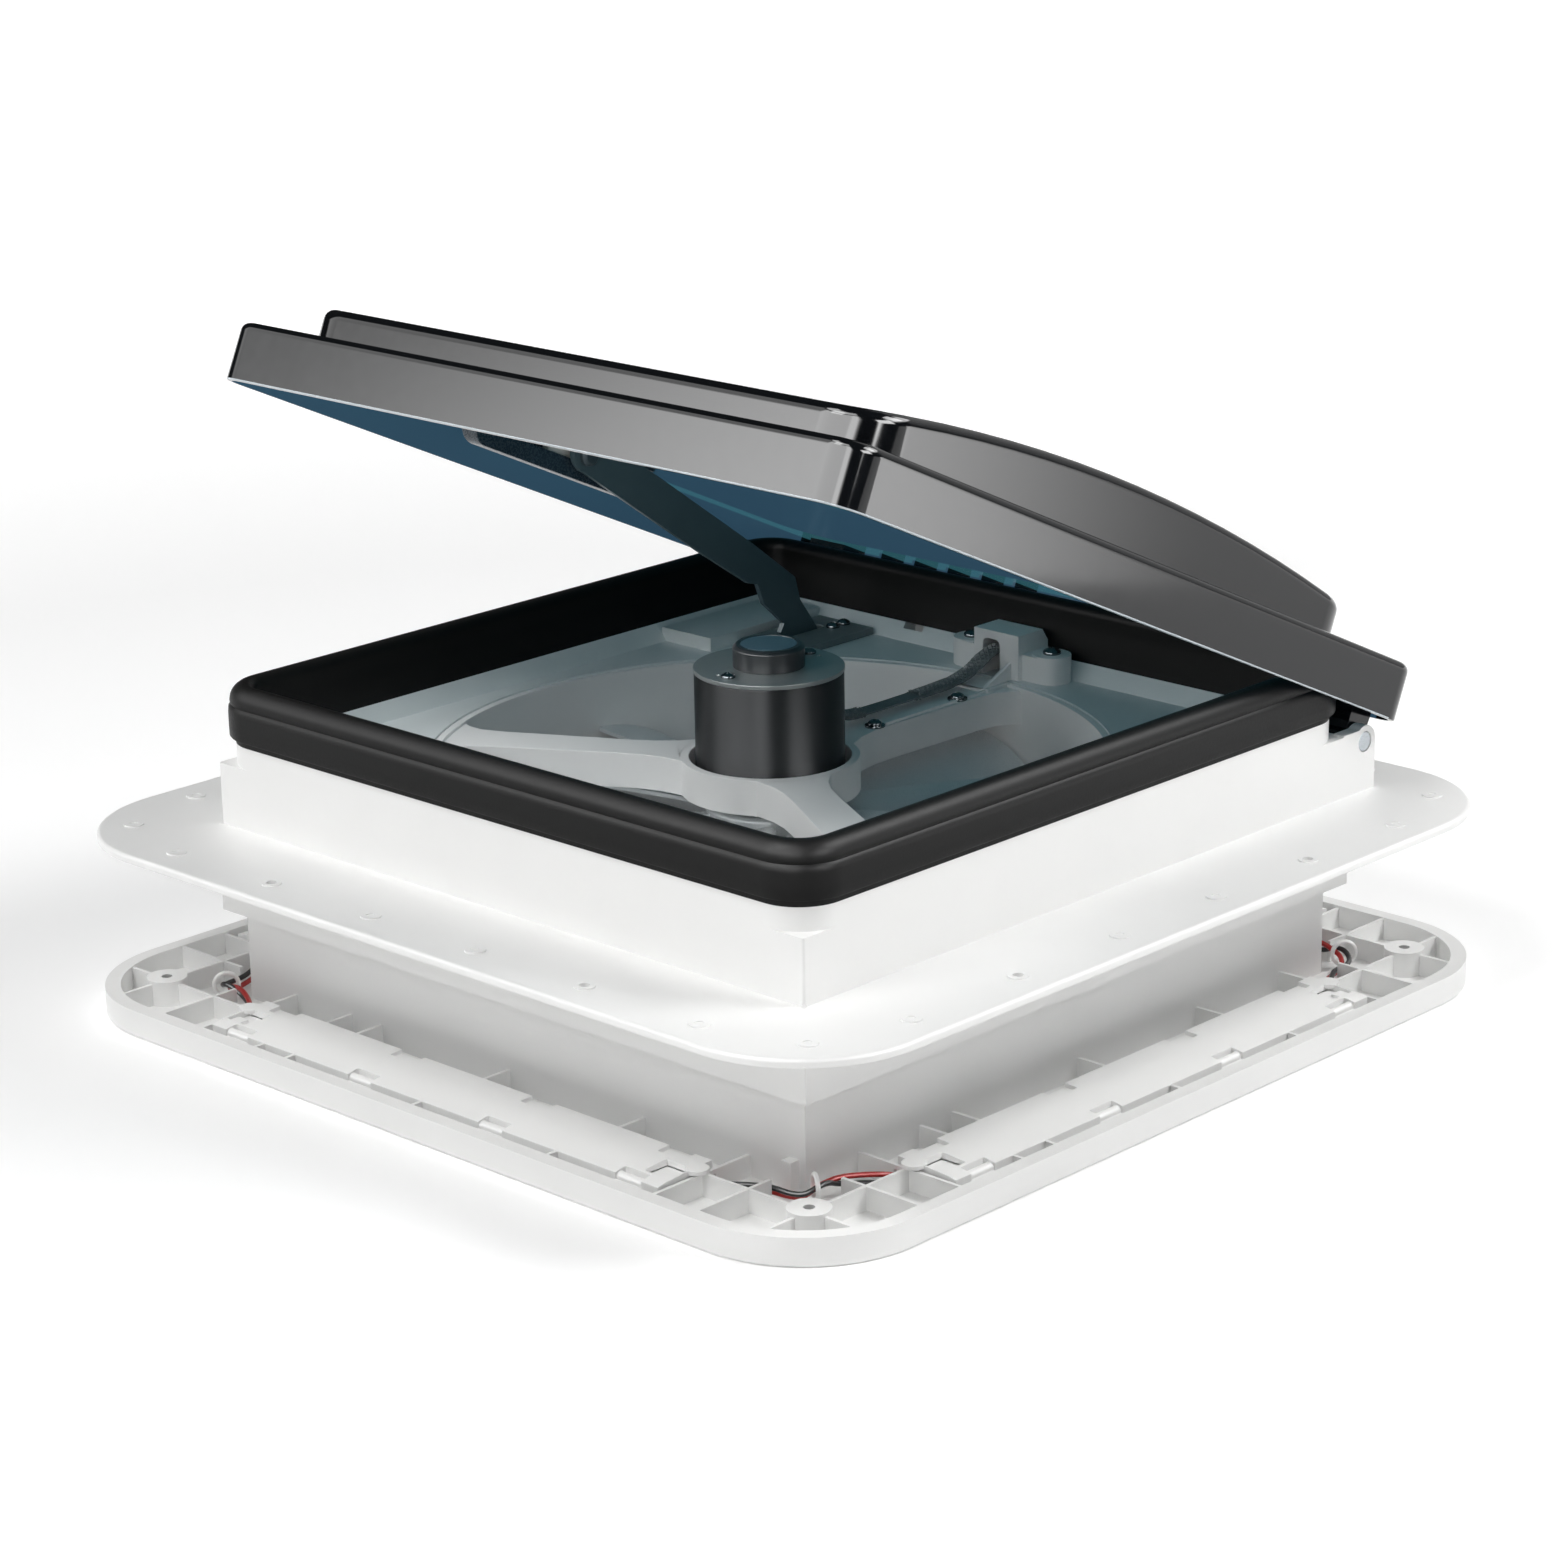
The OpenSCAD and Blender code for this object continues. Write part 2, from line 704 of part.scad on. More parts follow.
module arm_screws() {
    color("#c6c8ca") for (y = [52, throatR - 39]) {
        translate([6.5, y, hubTop]) {
            cylinder(r = 4.6, h = 0.9);
            translate([0, 0, 0.9]) domedScrew(3.2, 2.4);
            translate([0, 0, -7]) cylinder(r = 1.5, h = 7.1);
        }
    }
}

// Cords: a tube swept along hand-chosen points

function pathDir(p, i) = let (a = p[max(i - 1, 0)], b = p[min(i + 1, len(p) - 1)]) (b - a) / norm(b - a);
function pathSide(p, i) = let (c = cross(pathDir(p, i), [0.31, -0.52, 0.79])) c / norm(c);
function pathRing(p, i, r, n) = let (s = pathSide(p, i), u = cross(s, pathDir(p, i)))
    [for (k = [0:n - 1]) p[i] + r * cos(360 * k / n) * s + r * sin(360 * k / n) * u];
function curvePoint(a, b, c, d, t) = 0.5 * (2 * b + (c - a) * t + (2 * a - 5 * b + 4 * c - d) * t * t
    + (3 * b - a - 3 * c + d) * t * t * t);
function smoothPath(p, m) = concat([for (i = [0:len(p) - 2], k = [0:m - 1])
    curvePoint(p[max(i - 1, 0)], p[i], p[i + 1], p[min(i + 2, len(p) - 1)], k / m)], [p[len(p) - 1]]);

module tube(p, r, n) {
    c = len(p);
    polyhedron(points = [for (i = [0:c - 1]) each pathRing(p, i, r, n)],
        faces = concat([[for (k = [0:n - 1]) k]],
            [for (i = [0:c - 2], k = [0:n - 1]) each [
                [i * n + k, (i + 1) * n + k, i * n + (k + 1) % n],
                [i * n + (k + 1) % n, (i + 1) * n + k, (i + 1) * n + (k + 1) % n]]],
            [[for (k = [0:n - 1]) (c - 1) * n + n - 1 - k]]));
}

cablePoints = [[-4, 24, 46], [-4, 30, 45.5], [-4, 36, 41], [-4, 44, 37], [-4, 60, 36], [-4, 90, 36],
    [-4, bridgeY - 40, 36.5], [-4, bridgeY - 26, 39], [-3.5, bridgeY - 16, 44], [-3, bridgeY - 7, 46.5],
    [-3, bridgeY - 1, 44.5], [-3, bridgeY + 1, 39], [-3, bridgeY + 1, 33], [-3, bridgeY + 1, 24]];
redPoints = [[133, -190.3, -73.6], [137, -190.3, -73.6], [141, -190, -73.6], [147, -187, -74],
    [155, -182.4, -74.6], [163, -179.6, -75.2], [170, -178.4, -75.6], [175, -176.6, -74.6],
    [177.6, -173.6, -71.6], [178.4, -169.4, -70.4], [179, -163, -71.4], [182, -154, -73],
    [187, -146.4, -73.6], [189.9, -140.6, -73.6], [190.3, -136.6, -73.6], [190.3, -133, -73.6]];
blackPoints = [[133, -193.3, -73.6], [137, -193.3, -73.6], [141, -192.9, -73.4], [147.6, -189.6, -72.8],
    [155.8, -184.6, -72.4], [163, -181, -72.6], [171, -180.8, -73], [177.6, -179, -72.4],
    [180.2, -174.6, -69.8], [180.8, -169, -69.2], [181, -162.6, -69.6], [184.4, -154.6, -71.2],
    [189.4, -147.2, -73.2], [192.9, -141, -73.6], [193.3, -136.6, -73.6], [193.3, -133, -73.6]];

module motor_cable() {
    color("#26282a") tube(smoothPath(cablePoints, 4), 3, 10);
}

module wires_red() {
    color("#b3231f") fourSides() tube(smoothPath(cornerPath(redPoints), 2), 1.15, 8);
}

module wires_black() {
    color("#222222") fourSides() tube(smoothPath(cornerPath(blackPoints), 2), 1.15, 8);
}

// Trim ring

module trimRibs() {
    low = trimBottom + 1;
    tall = trim_height - 1.5;
    edge = trim_half - 3.5;
    ribMid = (barEnd + trim_half - 5) / 2;
    ribLong = trim_half - 9 - barEnd;
    fourSides() {
        for (s = [-1, 1]) {
            translate([s * ribMid - ribLong / 2, -bossAt - 0.8, low]) cube([ribLong, 1.6, tall]);
            translate([s * wireAt(163) - 0.8, -edge, low]) cube([1.6, edge - ringAt(13.9), tall]);
            difference() {
                translate([s * (barEnd + 2) - 0.8, -edge, low])
                    cube([1.6, edge - throatHalf + 1, tall - 0.6]);
                translate([s * (barEnd + 2) - 3, -barIn - 6.9, -76.4]) cube([6, 6, 5.4]);
            }
        }
        for (x = [-101.3, -81.5, -1.3, 79]) {
            translate([x - 0.8, 0.8 - barIn, low]) cube([1.6, barIn - throatHalf + 0.2, tall - 0.6]);
            translate([x - 0.8, -edge, low]) cube([1.6, edge - ringAt(49.5), tall]);
        }
    }
}

module trim_ring() {
    color("#dcdcda") difference() {
        union() {
            translate([0, 0, trimBottom]) linear_extrude(trim_height) difference() {
                roundedBox(trim_half, trim_half, 56);
                roundedBox(trim_half - 7, trim_half - 7, 49);
            }
            translate([0, 0, trimBottom]) linear_extrude(2) difference() {
                roundedBox(trim_half - 1, trim_half - 1, 55);
                square(2 * trimThroatIn, center = true);
            }
            translate([0, 0, trimBottom]) linear_extrude(-24 - trimBottom) difference() {
                square(2 * throatHalf, center = true);
                square(2 * trimThroatIn, center = true);
            }
            intersection() {
                trimRibs();
                translate([0, 0, trimBottom]) linear_extrude(40)
                    roundedBox(trim_half - 1, trim_half - 1, 55);
            }
            for (a = [45:90:315]) {
                rotate([0, 0, a]) translate([bossAt * sqrt(2), 0, trimBottom])
                    cylinder(r = 9, h = trim_height + 1);
            }
            translate([wireAt(163) - 2.5, -throatHalf - 4.9, trimBottom]) cube([5, 6, trim_height + 4]);
        }
        for (a = [45:90:315]) {
            rotate([0, 0, a]) translate([bossAt * sqrt(2), 0, trimBottom - 1]) {
                cylinder(r = trim_hole / 2, h = 40);
                translate([0, 0, 6]) cylinder(r = 5, h = 40);
            }
        }
        fourSides() {
            translate([6 - barEnd, -ringAt(39.9), trimBottom - 1])
                cube([bar_len - 12, ringRoom * 16, 10]);
        }
    }
}

module lightBar() {
    end = barEnd;
    difference() {
        union() {
            difference() {
                alongX(-end, bar_len) polygon([[-ringAt(49.2), trimFloor], [-ringAt(49.2), -68.4],
                    [-ringAt(44.9), -67.6], [-ringAt(30.9), -66.7], [-barIn, -66.2], [-barIn, trimFloor]]);
                for (x = [-119.5, -40, 40, 119.5]) {
                    translate([x - 7, -ringAt(50.9), -71.6]) cube([14, ringRoom * 7.6, 10]);
                    translate([x - 7, -ringAt(25.3), -68.2]) cube([14, ringRoom * 10, 5]);
                }
            }
            for (x = [-119.5, -40, 40, 119.5]) {
                translate([x - 7.5, -ringAt(46.4), -70.9]) rotate([0, 90, 0]) cylinder(r = 2.2, h = 15);
            }
        }
        translate([-end + 2, -ringAt(41.7), trimFloor - 1]) cube([bar_len - 4, ringRoom * 21, 9.8]);
        for (x = [-end + 8, end - 8]) {
            translate([x - 6.8, -ringAt(41.4), -72]) cube([13.6, ringRoom * 12.5, 10]);
        }
        for (x = [-end, end], y = [-barIn - 5.7, -barIn - 2.7]) {
            translate([x, y, -73.6]) rotate([0, 90, 0]) cylinder(r = 1.35, h = 7, center = true);
        }
    }
}

module light_bar_front() {
    color("#e2e2e0") lightBar();
}

module light_bar_right() {
    color("#e2e2e0") rotate([0, 0, 90]) lightBar();
}

module light_bar_back() {
    color("#e2e2e0") rotate([0, 0, 180]) lightBar();
}

module light_bar_left() {
    color("#e2e2e0") rotate([0, 0, 270]) lightBar();
}

module lightLens() {
    translate([6 + fit_gap - barEnd, fit_gap - ringAt(39.9), trimBottom])
        cube([bar_len - 12 - 2 * fit_gap, ringRoom * 16 - 2 * fit_gap, 2.5]);
    translate([3 - barEnd, -ringAt(41.4), trimFloor]) cube([bar_len - 6, ringRoom * 18.6, 1.6]);
}

module light_lens_front() {
    color("#f2f3ee") lightLens();
}

module light_lens_right() {
    color("#f2f3ee") rotate([0, 0, 90]) lightLens();
}

module light_lens_back() {
    color("#f2f3ee") rotate([0, 0, 180]) lightLens();
}

module light_lens_left() {
    color("#f2f3ee") rotate([0, 0, 270]) lightLens();
}

module wire_loops() {
    color("#e2e2e0") fourSides() {
        translate([wireAt(179), -wireAt(174.2), trimFloor]) rotate([0, 0, 55]) {
            translate([0, 0, 8]) rotate([0, 90, 0]) rotate_extrude() translate([5.4, 0]) circle(r = 1);
            translate([-1, -2, 0]) cube([2, 4, 3]);
        }
    }
}

// Insect screen in the inner opening

module screen_frame() {
    half = trimThroatIn - fit_gap / 2;
    color("#d8d8d6") translate([0, 0, -66]) linear_extrude(5) difference() {
        square(2 * half, center = true);
        square(2 * half - 12, center = true);
    }
}

module screen_mesh() {
    half = trimThroatIn - 5;
    pitch = 2 * half / 17;
    color("#5a5d60") translate([0, 0, -61]) linear_extrude(0.8) difference() {
        square(2 * half, center = true);
        for (i = [0:16], j = [0:16]) {
            translate([-half + (i + 0.5) * pitch, -half + (j + 0.5) * pitch])
                square(pitch - 1.2, center = true);
        }
    }
}

module screen_clips() {
    color("#d8d8d6") fourSides() for (x = [-90, 90]) {
        translate([x - 6, trimThroatIn - 8, -68]) cube([12, 8, 2]);
    }
}

base_flange();
fan_deck();
venturi_spider();
throat_screws();
lid_gasket();
hinge_pins();
lid_shell();
lid_rail();
rail_screws();
lift_arm();
arm_shaft();
arm_pin();
track_slider();
lift_bracket();
bracket_screws();
sector_gear();
lift_pinion();
lift_gearbox();
lift_motor();
motor_can();
motor_end_plate();
motor_cap();
motor_screws();
motor_shaft();
impeller();
impeller_nut();
cable_bridge();
bridge_screws();
arm_screws();
motor_cable();
trim_ring();
light_bar_front();
light_bar_right();
light_bar_back();
light_bar_left();
light_lens_front();
light_lens_right();
light_lens_back();
light_lens_left();
wires_red();
wires_black();
wire_loops();
screen_frame();
screen_mesh();
screen_clips();
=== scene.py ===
import json
import math
import bpy
import bmesh
from mathutils import Matrix, Vector

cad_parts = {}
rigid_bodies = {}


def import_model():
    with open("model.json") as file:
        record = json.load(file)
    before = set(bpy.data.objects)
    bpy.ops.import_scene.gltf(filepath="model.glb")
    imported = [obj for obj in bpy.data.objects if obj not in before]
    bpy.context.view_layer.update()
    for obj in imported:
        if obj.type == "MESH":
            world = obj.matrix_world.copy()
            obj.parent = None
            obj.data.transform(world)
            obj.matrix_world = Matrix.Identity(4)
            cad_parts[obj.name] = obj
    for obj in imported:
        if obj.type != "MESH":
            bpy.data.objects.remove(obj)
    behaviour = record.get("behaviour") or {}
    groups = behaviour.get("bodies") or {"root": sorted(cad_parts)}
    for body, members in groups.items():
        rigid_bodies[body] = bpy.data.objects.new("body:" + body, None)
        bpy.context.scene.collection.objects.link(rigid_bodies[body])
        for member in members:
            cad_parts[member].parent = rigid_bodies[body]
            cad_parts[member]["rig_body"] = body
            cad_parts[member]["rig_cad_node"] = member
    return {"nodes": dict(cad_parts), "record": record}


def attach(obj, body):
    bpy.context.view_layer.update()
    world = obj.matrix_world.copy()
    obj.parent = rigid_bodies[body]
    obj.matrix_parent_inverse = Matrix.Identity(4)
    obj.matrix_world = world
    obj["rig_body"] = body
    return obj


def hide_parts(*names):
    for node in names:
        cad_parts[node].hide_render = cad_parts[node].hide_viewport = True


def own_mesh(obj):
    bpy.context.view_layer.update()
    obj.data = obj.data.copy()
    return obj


# Roof vent fan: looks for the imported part. Metres, Z up, lid drawn open.

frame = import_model()
nodes = frame["nodes"]
bodyOfNode = {n: b for b, group in frame["record"]["behaviour"]["bodies"].items() for n in group}
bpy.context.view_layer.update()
mm = 0.001
print("frame loaded with", len(nodes), "nodes")


# How CAD copies are cleaned: weld distance in mm, angle below which faces merge, growth of the area
# that shows a folded face, and how much the larger faces rule the shading
cleanLook = {"weld": 0.002, "flatDegrees": 0.4, "foldedFrom": 1.004, "faceWeight": 60}


# Selection and small modelling helpers

def deselectAll():
    if bpy.context.mode != "OBJECT":
        bpy.ops.object.mode_set(mode="OBJECT")
    bpy.ops.object.select_all(action="DESELECT")


def makeActive(obj):
    deselectAll()
    obj.select_set(True)
    bpy.context.view_layer.objects.active = obj
    return obj


def editMode(kind="FACE"):
    bpy.ops.object.mode_set(mode="EDIT")
    bpy.ops.mesh.select_mode(type=kind)


def objectMode():
    bpy.ops.object.mode_set(mode="OBJECT")


# Selects in edit mode by place or normal, test gets the element, returns how many
def pick(kind, test):
    bpy.ops.mesh.select_mode(type=kind)
    bpy.ops.mesh.select_all(action="DESELECT")
    mesh = bmesh.from_edit_mesh(bpy.context.active_object.data)
    parts = {"VERT": mesh.verts, "EDGE": mesh.edges, "FACE": mesh.faces}[kind]
    count = 0
    for part in parts:
        if test(part):
            part.select_set(True)
            count += 1
    bmesh.update_edit_mesh(bpy.context.active_object.data)
    return count


def middle(edge):
    return (edge.verts[0].co + edge.verts[1].co) / 2


def sharpEdge(edge, degrees=30):
    return len(edge.link_faces) == 2 and edge.calc_face_angle(0) > math.radians(degrees)


def applyModifier(obj, kind, **settings):
    makeActive(obj)
    modifier = obj.modifiers.new(kind.lower(), kind)
    for key, value in settings.items():
        setattr(modifier, key, value)
    bpy.ops.object.modifier_apply(modifier=modifier.name)


def bevelWhere(obj, test, width, segments=3, clamp=True):
    makeActive(obj)
    editMode("EDGE")
    if pick("EDGE", lambda e: sharpEdge(e) and test(middle(e))):
        bpy.ops.mesh.bevel(offset=width * mm, segments=segments, affect="EDGES",
                           clamp_overlap=clamp, face_strength_mode="ALL")
    objectMode()


def softenEdges(obj, width, segments=2, degrees=34):
    if width > 0:
        applyModifier(obj, "BEVEL", width=width * mm, segments=segments, limit_method="ANGLE",
                      angle_limit=math.radians(degrees), use_clamp_overlap=False,
                      miter_outer="MITER_ARC", face_strength_mode="FSTR_ALL")
    smoothFaces(obj)


def smoothFaces(obj, degrees=30):
    makeActive(obj)
    bpy.ops.object.shade_smooth_by_angle(angle=math.radians(degrees))
    applyModifier(obj, "WEIGHTED_NORMAL", keep_sharp=True, weight=cleanLook["faceWeight"],
                  use_face_influence=True)


# Turned and moved copies of a finished mesh, each with its own mesh
def copyTurned(obj, name, matrix):
    twin = obj.copy()
    twin.data = obj.data.copy()
    twin.name = name
    bpy.context.scene.collection.objects.link(twin)
    twin.data.transform(matrix)
    return twin


def joinPieces(pieces, name):
    deselectAll()
    for piece in pieces:
        piece.select_set(True)
    bpy.context.view_layer.objects.active = pieces[0]
    bpy.ops.object.join()
    pieces[0].name = name
    return pieces[0]


# Puts the object's own placing into its mesh
def freeze(obj):
    makeActive(obj)
    bpy.ops.object.transform_apply(location=True, rotation=True, scale=True)
    return obj


# Distance of a point from the outline of a box with rounded corners, in mm, minus inside
def outlineGap(x, y, halfX, halfY, radius):
    dx, dy = abs(x) - (halfX - radius), abs(y) - (halfY - radius)
    if dx > 0 and dy > 0:
        return math.hypot(dx, dy) - radius
    return max(dx, dy) - radius


def areaOf(obj):
    obj.data.calc_loop_triangles()
    return sum(triangle.area for triangle in obj.data.loop_triangles)


# A copy of a CAD node, by default with its triangles merged into clean faces
def copyOfNode(name, newName, merged=True):
    source = nodes[name]
    obj = source.copy()
    obj.data = source.data.copy()
    bpy.context.scene.collection.objects.link(obj)
    obj.parent = None
    obj.matrix_world = Matrix.Identity(4)
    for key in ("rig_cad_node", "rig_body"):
        if key in obj:
            del obj[key]
    obj.name = newName
    obj.data.name = newName
    makeActive(obj)
    editMode("VERT")
    bpy.ops.mesh.select_all(action="SELECT")
    bpy.ops.mesh.remove_doubles(threshold=cleanLook["weld"] * mm)
    bpy.ops.mesh.customdata_custom_splitnormals_clear()
    if merged:
        bpy.ops.mesh.dissolve_limited(angle_limit=math.radians(cleanLook["flatDegrees"]))
    objectMode()
    return obj


def openEdges(obj):
    mesh = bmesh.new()
    mesh.from_mesh(obj.data)
    count = sum(1 for edge in mesh.edges if not edge.is_manifold)
    mesh.free()
    return count


# A copy with rounded edges. Where merged faces would fold over a hole, small edges stay sharp
def softCopy(name, newName, radius, shaping=None):
    for merged in (True, False):
        obj = copyOfNode(name, newName, merged)
        if shaping:
            shaping(obj)
        softenEdges(obj, radius if merged else 0)
        folded = areaOf(obj) > cleanLook["foldedFrom"] * areaOf(nodes[name])
        if merged and (folded or openEdges(obj)):
            bpy.data.objects.remove(obj)
        else:
            return obj


def paint(obj, *materials):
    obj.data.materials.clear()
    for material in materials:
        obj.data.materials.append(material)
    return obj


# Places a finished piece: what it stands for, the body it moves with and its finish
def settle(obj, node, *materials):
    if materials:
        paint(obj, *materials)
    names = [node] if isinstance(node, str) else list(node)
    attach(obj, bodyOfNode[names[0]])
    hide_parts(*names)
    return obj


# Materials

def toLinear(hexColour):
    values = [int(hexColour[i:i + 2], 16) / 255 for i in (1, 3, 5)]
    linear = [v / 12.92 if v <= 0.04045 else ((v + 0.055) / 1.055) ** 2.4 for v in values]
    return tuple(linear) + (1.0,)


def addNode(tree, kind, settings=None, links=None):
    node = tree.nodes.new(kind)
    for key, value in (settings or {}).items():
        if isinstance(key, int) or key in node.inputs:
            node.inputs[key].default_value = value
        else:
            setattr(node, key, value)
    for key, source in (links or {}).items():
        tree.links.new(source, node.inputs[key])
    return node


def newMaterial(name):
    material = bpy.data.materials.new(name)
    material.use_nodes = True
    material.node_tree.nodes.clear()
    return material, material.node_tree


def grainNode(tree, place, sizeMm, detail=2.0):
    return addNode(tree, "ShaderNodeTexNoise",
                   {"Scale": 1000.0 / sizeMm, "Detail": detail, "Roughness": 0.55}, {"Vector": place})


# A surface with a mottled colour, an uneven gloss and a raised grain
def grainedSurface(name, look):
    material, tree = newMaterial(name)
    place = addNode(tree, "ShaderNodeTexCoord").outputs["Object"]
    cloud = grainNode(tree, place, look.get("cloudMm", 40), 3.0)
    tint = addNode(tree, "ShaderNodeMix", {"data_type": "RGBA", 6: toLinear(look["colour"]),
                                           7: toLinear(look["shade"])}, {0: cloud.outputs["Fac"]})
    grain = grainNode(tree, place, look.get("grainMm", 0.6))
    spread = look.get("spread", 0.05)
    gloss = addNode(tree, "ShaderNodeMapRange", {
        "From Min": 0.3, "From Max": 0.7, "To Min": look["roughness"] - spread,
        "To Max": look["roughness"] + spread}, {"Value": grain.outputs["Fac"]})
    raised = addNode(tree, "ShaderNodeBump", {"Strength": look.get("bump", 0.15),
                                              "Distance": look.get("depthMm", 0.03) * mm},
                     {"Height": grain.outputs["Fac"]})
    surface = addNode(tree, "ShaderNodeBsdfPrincipled",
                      {"Metallic": look.get("metallic", 0.0), "IOR": look.get("ior", 1.5),
                       "Emission Color": toLinear(look.get("glow", "#000000")),
                       "Emission Strength": look.get("glowStrength", 0.0),
                       "Specular IOR Level": look.get("specular", 0.5),
                       "Anisotropic": look.get("anisotropic", 0.0),
                       "Anisotropic Rotation": look.get("turned", 0.0)},
                      {"Base Color": tint.outputs[2], "Roughness": gloss.outputs["Result"],
                       "Normal": raised.outputs["Normal"]})
    addNode(tree, "ShaderNodeOutputMaterial", {}, {"Surface": surface.outputs["BSDF"]})
    return material


# White ABS, injection moulded in a spark-eroded tool: fine even grain
absWhite = grainedSurface("absWhiteSparkGrain", {
    "colour": "#efefee", "shade": "#eaeae9", "roughness": 0.46, "grainMm": 0.9, "bump": 0.22,
    "depthMm": 0.05, "ior": 1.53})
# The deck's ABS, same tool finish, a little greyer
absDeck = grainedSurface("absDeckSparkGrain", {
    "colour": "#dde3e3", "shade": "#d3dadb", "roughness": 0.42, "grainMm": 0.9, "bump": 0.15,
    "depthMm": 0.04, "ior": 1.53})
# Light bar covers: ABS from a blasted tool, smoother
absBar = grainedSurface("absBarBlastedTool", {
    "colour": "#f4f4f3", "shade": "#f0f0ef", "roughness": 0.4, "grainMm": 0.5, "bump": 0.1,
    "depthMm": 0.03, "ior": 1.53})
# Acrylic lid, vacuum-bright outside, smoked in the mass
acrylicSmoked = grainedSurface("acrylicSmokedPolished", {
    "colour": "#0c0e10", "shade": "#101215", "roughness": 0.09, "spread": 0.015, "grainMm": 6,
    "bump": 0.02, "depthMm": 0.02, "ior": 1.49, "specular": 0.4})
# Inner skin of the same acrylic: its blue colour and glow are painted light, standing in for the daylight
# that comes through the lid
lidInnerPaintedLight = grainedSurface("acrylicInnerPaintedDaylightGlow", {
    "colour": "#2c434f", "shade": "#263b46", "glow": "#35546a", "glowStrength": 0.6, "roughness": 0.16,
    "spread": 0.02, "grainMm": 5, "bump": 0.02, "depthMm": 0.02, "ior": 1.49, "cloudMm": 120})
# The lid's inner ceiling: painted darker as a reflection of the seal and the deck, with a painted teal
# glow for the daylight through the lid
lidCeilingPaintedLight = grainedSurface("acrylicCeilingPaintedReflectionGlow", {
    "colour": "#131a1d", "shade": "#101618", "glow": "#3d7782", "glowStrength": 0.43,
    "roughness": 0.12, "spread": 0.02, "grainMm": 5, "bump": 0.02, "depthMm": 0.02, "ior": 1.49,
    "cloudMm": 120})
# Cut rim of the acrylic, painted light grey as a highlight along the lid's edge
lidRimPaintedHighlight = grainedSurface("acrylicRimPaintedHighlight", {
    "colour": "#c6ced2", "shade": "#bac3c8", "roughness": 0.2, "spread": 0.03, "grainMm": 2,
    "bump": 0.03, "depthMm": 0.02, "ior": 1.49})
# EPDM bulb seal, extruded with a pebbled skin
epdmSeal = grainedSurface("epdmPebbledExtrusion", {
    "colour": "#0e0e0e", "shade": "#0a0a0a", "roughness": 0.44, "grainMm": 1.3, "bump": 0.35,
    "depthMm": 0.09, "ior": 1.5, "specular": 0.13})
# Lift arm: pressed steel, blue-grey powder coat
steelArm = grainedSurface("steelArmPowderCoat", {
    "colour": "#4a5d63", "shade": "#42545a", "roughness": 0.42, "grainMm": 0.7, "bump": 0.12,
    "depthMm": 0.03})
# Bracket and pin: steel, black phosphate
steelBlack = grainedSurface("steelBlackPhosphate", {
    "colour": "#49555a", "shade": "#3f4a4f", "roughness": 0.38, "grainMm": 0.5, "bump": 0.1,
    "depthMm": 0.02, "metallic": 0.3})
# Deck bracket: the same steel with a grey zinc-nickel skin
steelBracket = grainedSurface("steelBracketZincNickel", {
    "colour": "#747f82", "shade": "#6a7578", "roughness": 0.4, "grainMm": 0.5, "bump": 0.1,
    "depthMm": 0.02, "metallic": 0.2})
# Domed screws: steel, black nickel over a polished head
steelNickel = grainedSurface("steelBlackNickelPolished", {
    "colour": "#6e7376", "shade": "#5d6265", "roughness": 0.17, "grainMm": 0.5, "bump": 0.04,
    "depthMm": 0.01, "metallic": 1.0})
# Track bracket: glass-filled nylon, dark
nylonDark = grainedSurface("nylonDarkGlassFilled", {
    "colour": "#2b3a44", "shade": "#22303a", "roughness": 0.27, "grainMm": 0.8, "bump": 0.08,
    "depthMm": 0.03})
# Screws and pins: zinc-plated steel, rolled and tumbled
steelZinc = grainedSurface("steelZincPlatedTumbled", {
    "colour": "#b9bec2", "shade": "#a2a8ad", "roughness": 0.26, "grainMm": 0.4, "bump": 0.06,
    "depthMm": 0.01, "metallic": 1.0})
# Shafts: ground bright steel
steelGround = grainedSurface("steelCentrelessGround", {
    "colour": "#b4b8bb", "shade": "#a8acb0", "roughness": 0.22, "grainMm": 0.25, "bump": 0.05,
    "depthMm": 0.01, "metallic": 1.0})
# Motor can: drawn steel, black satin electrocoat
steelCan = grainedSurface("steelCanBlackElectrocoat", {
    "colour": "#1b1d1f", "shade": "#202224", "roughness": 0.45, "grainMm": 0.4, "bump": 0.05,
    "depthMm": 0.015, "metallic": 0.3, "anisotropic": 0.9, "turned": 0.25})
# Motor end plate: pressed steel, gunmetal nickel
steelGunmetal = grainedSurface("steelGunmetalNickel", {
    "colour": "#9ba0a0", "shade": "#8f9494", "roughness": 0.36, "grainMm": 0.5, "bump": 0.1,
    "depthMm": 0.02, "metallic": 0.3})
# Disc on the motor cap: blued steel, brushed
steelDisc = grainedSurface("steelDiscBluedBrushed", {
    "colour": "#6f8797", "shade": "#647c8c", "roughness": 0.35, "grainMm": 0.3, "bump": 0.08,
    "depthMm": 0.01, "metallic": 0.25})
# Motor cap: phenolic moulding
phenolicCap = grainedSurface("phenolicCapMoulded", {
    "colour": "#2b2e30", "shade": "#34373a", "roughness": 0.34, "grainMm": 0.4, "bump": 0.08,
    "depthMm": 0.02})
# Fan wheel: silver-filled ABS, flow-swirled
absSilver = grainedSurface("absSilverFlake", {
    "colour": "#dcdfe0", "shade": "#cfd3d4", "roughness": 0.3, "grainMm": 0.3, "bump": 0.05,
    "depthMm": 0.01, "metallic": 0.1})
# Slider and gears: natural nylon
nylonNatural = grainedSurface("nylonNaturalMoulded", {
    "colour": "#e6e5df", "shade": "#dddcd4", "roughness": 0.36, "grainMm": 0.6, "bump": 0.06,
    "depthMm": 0.02})
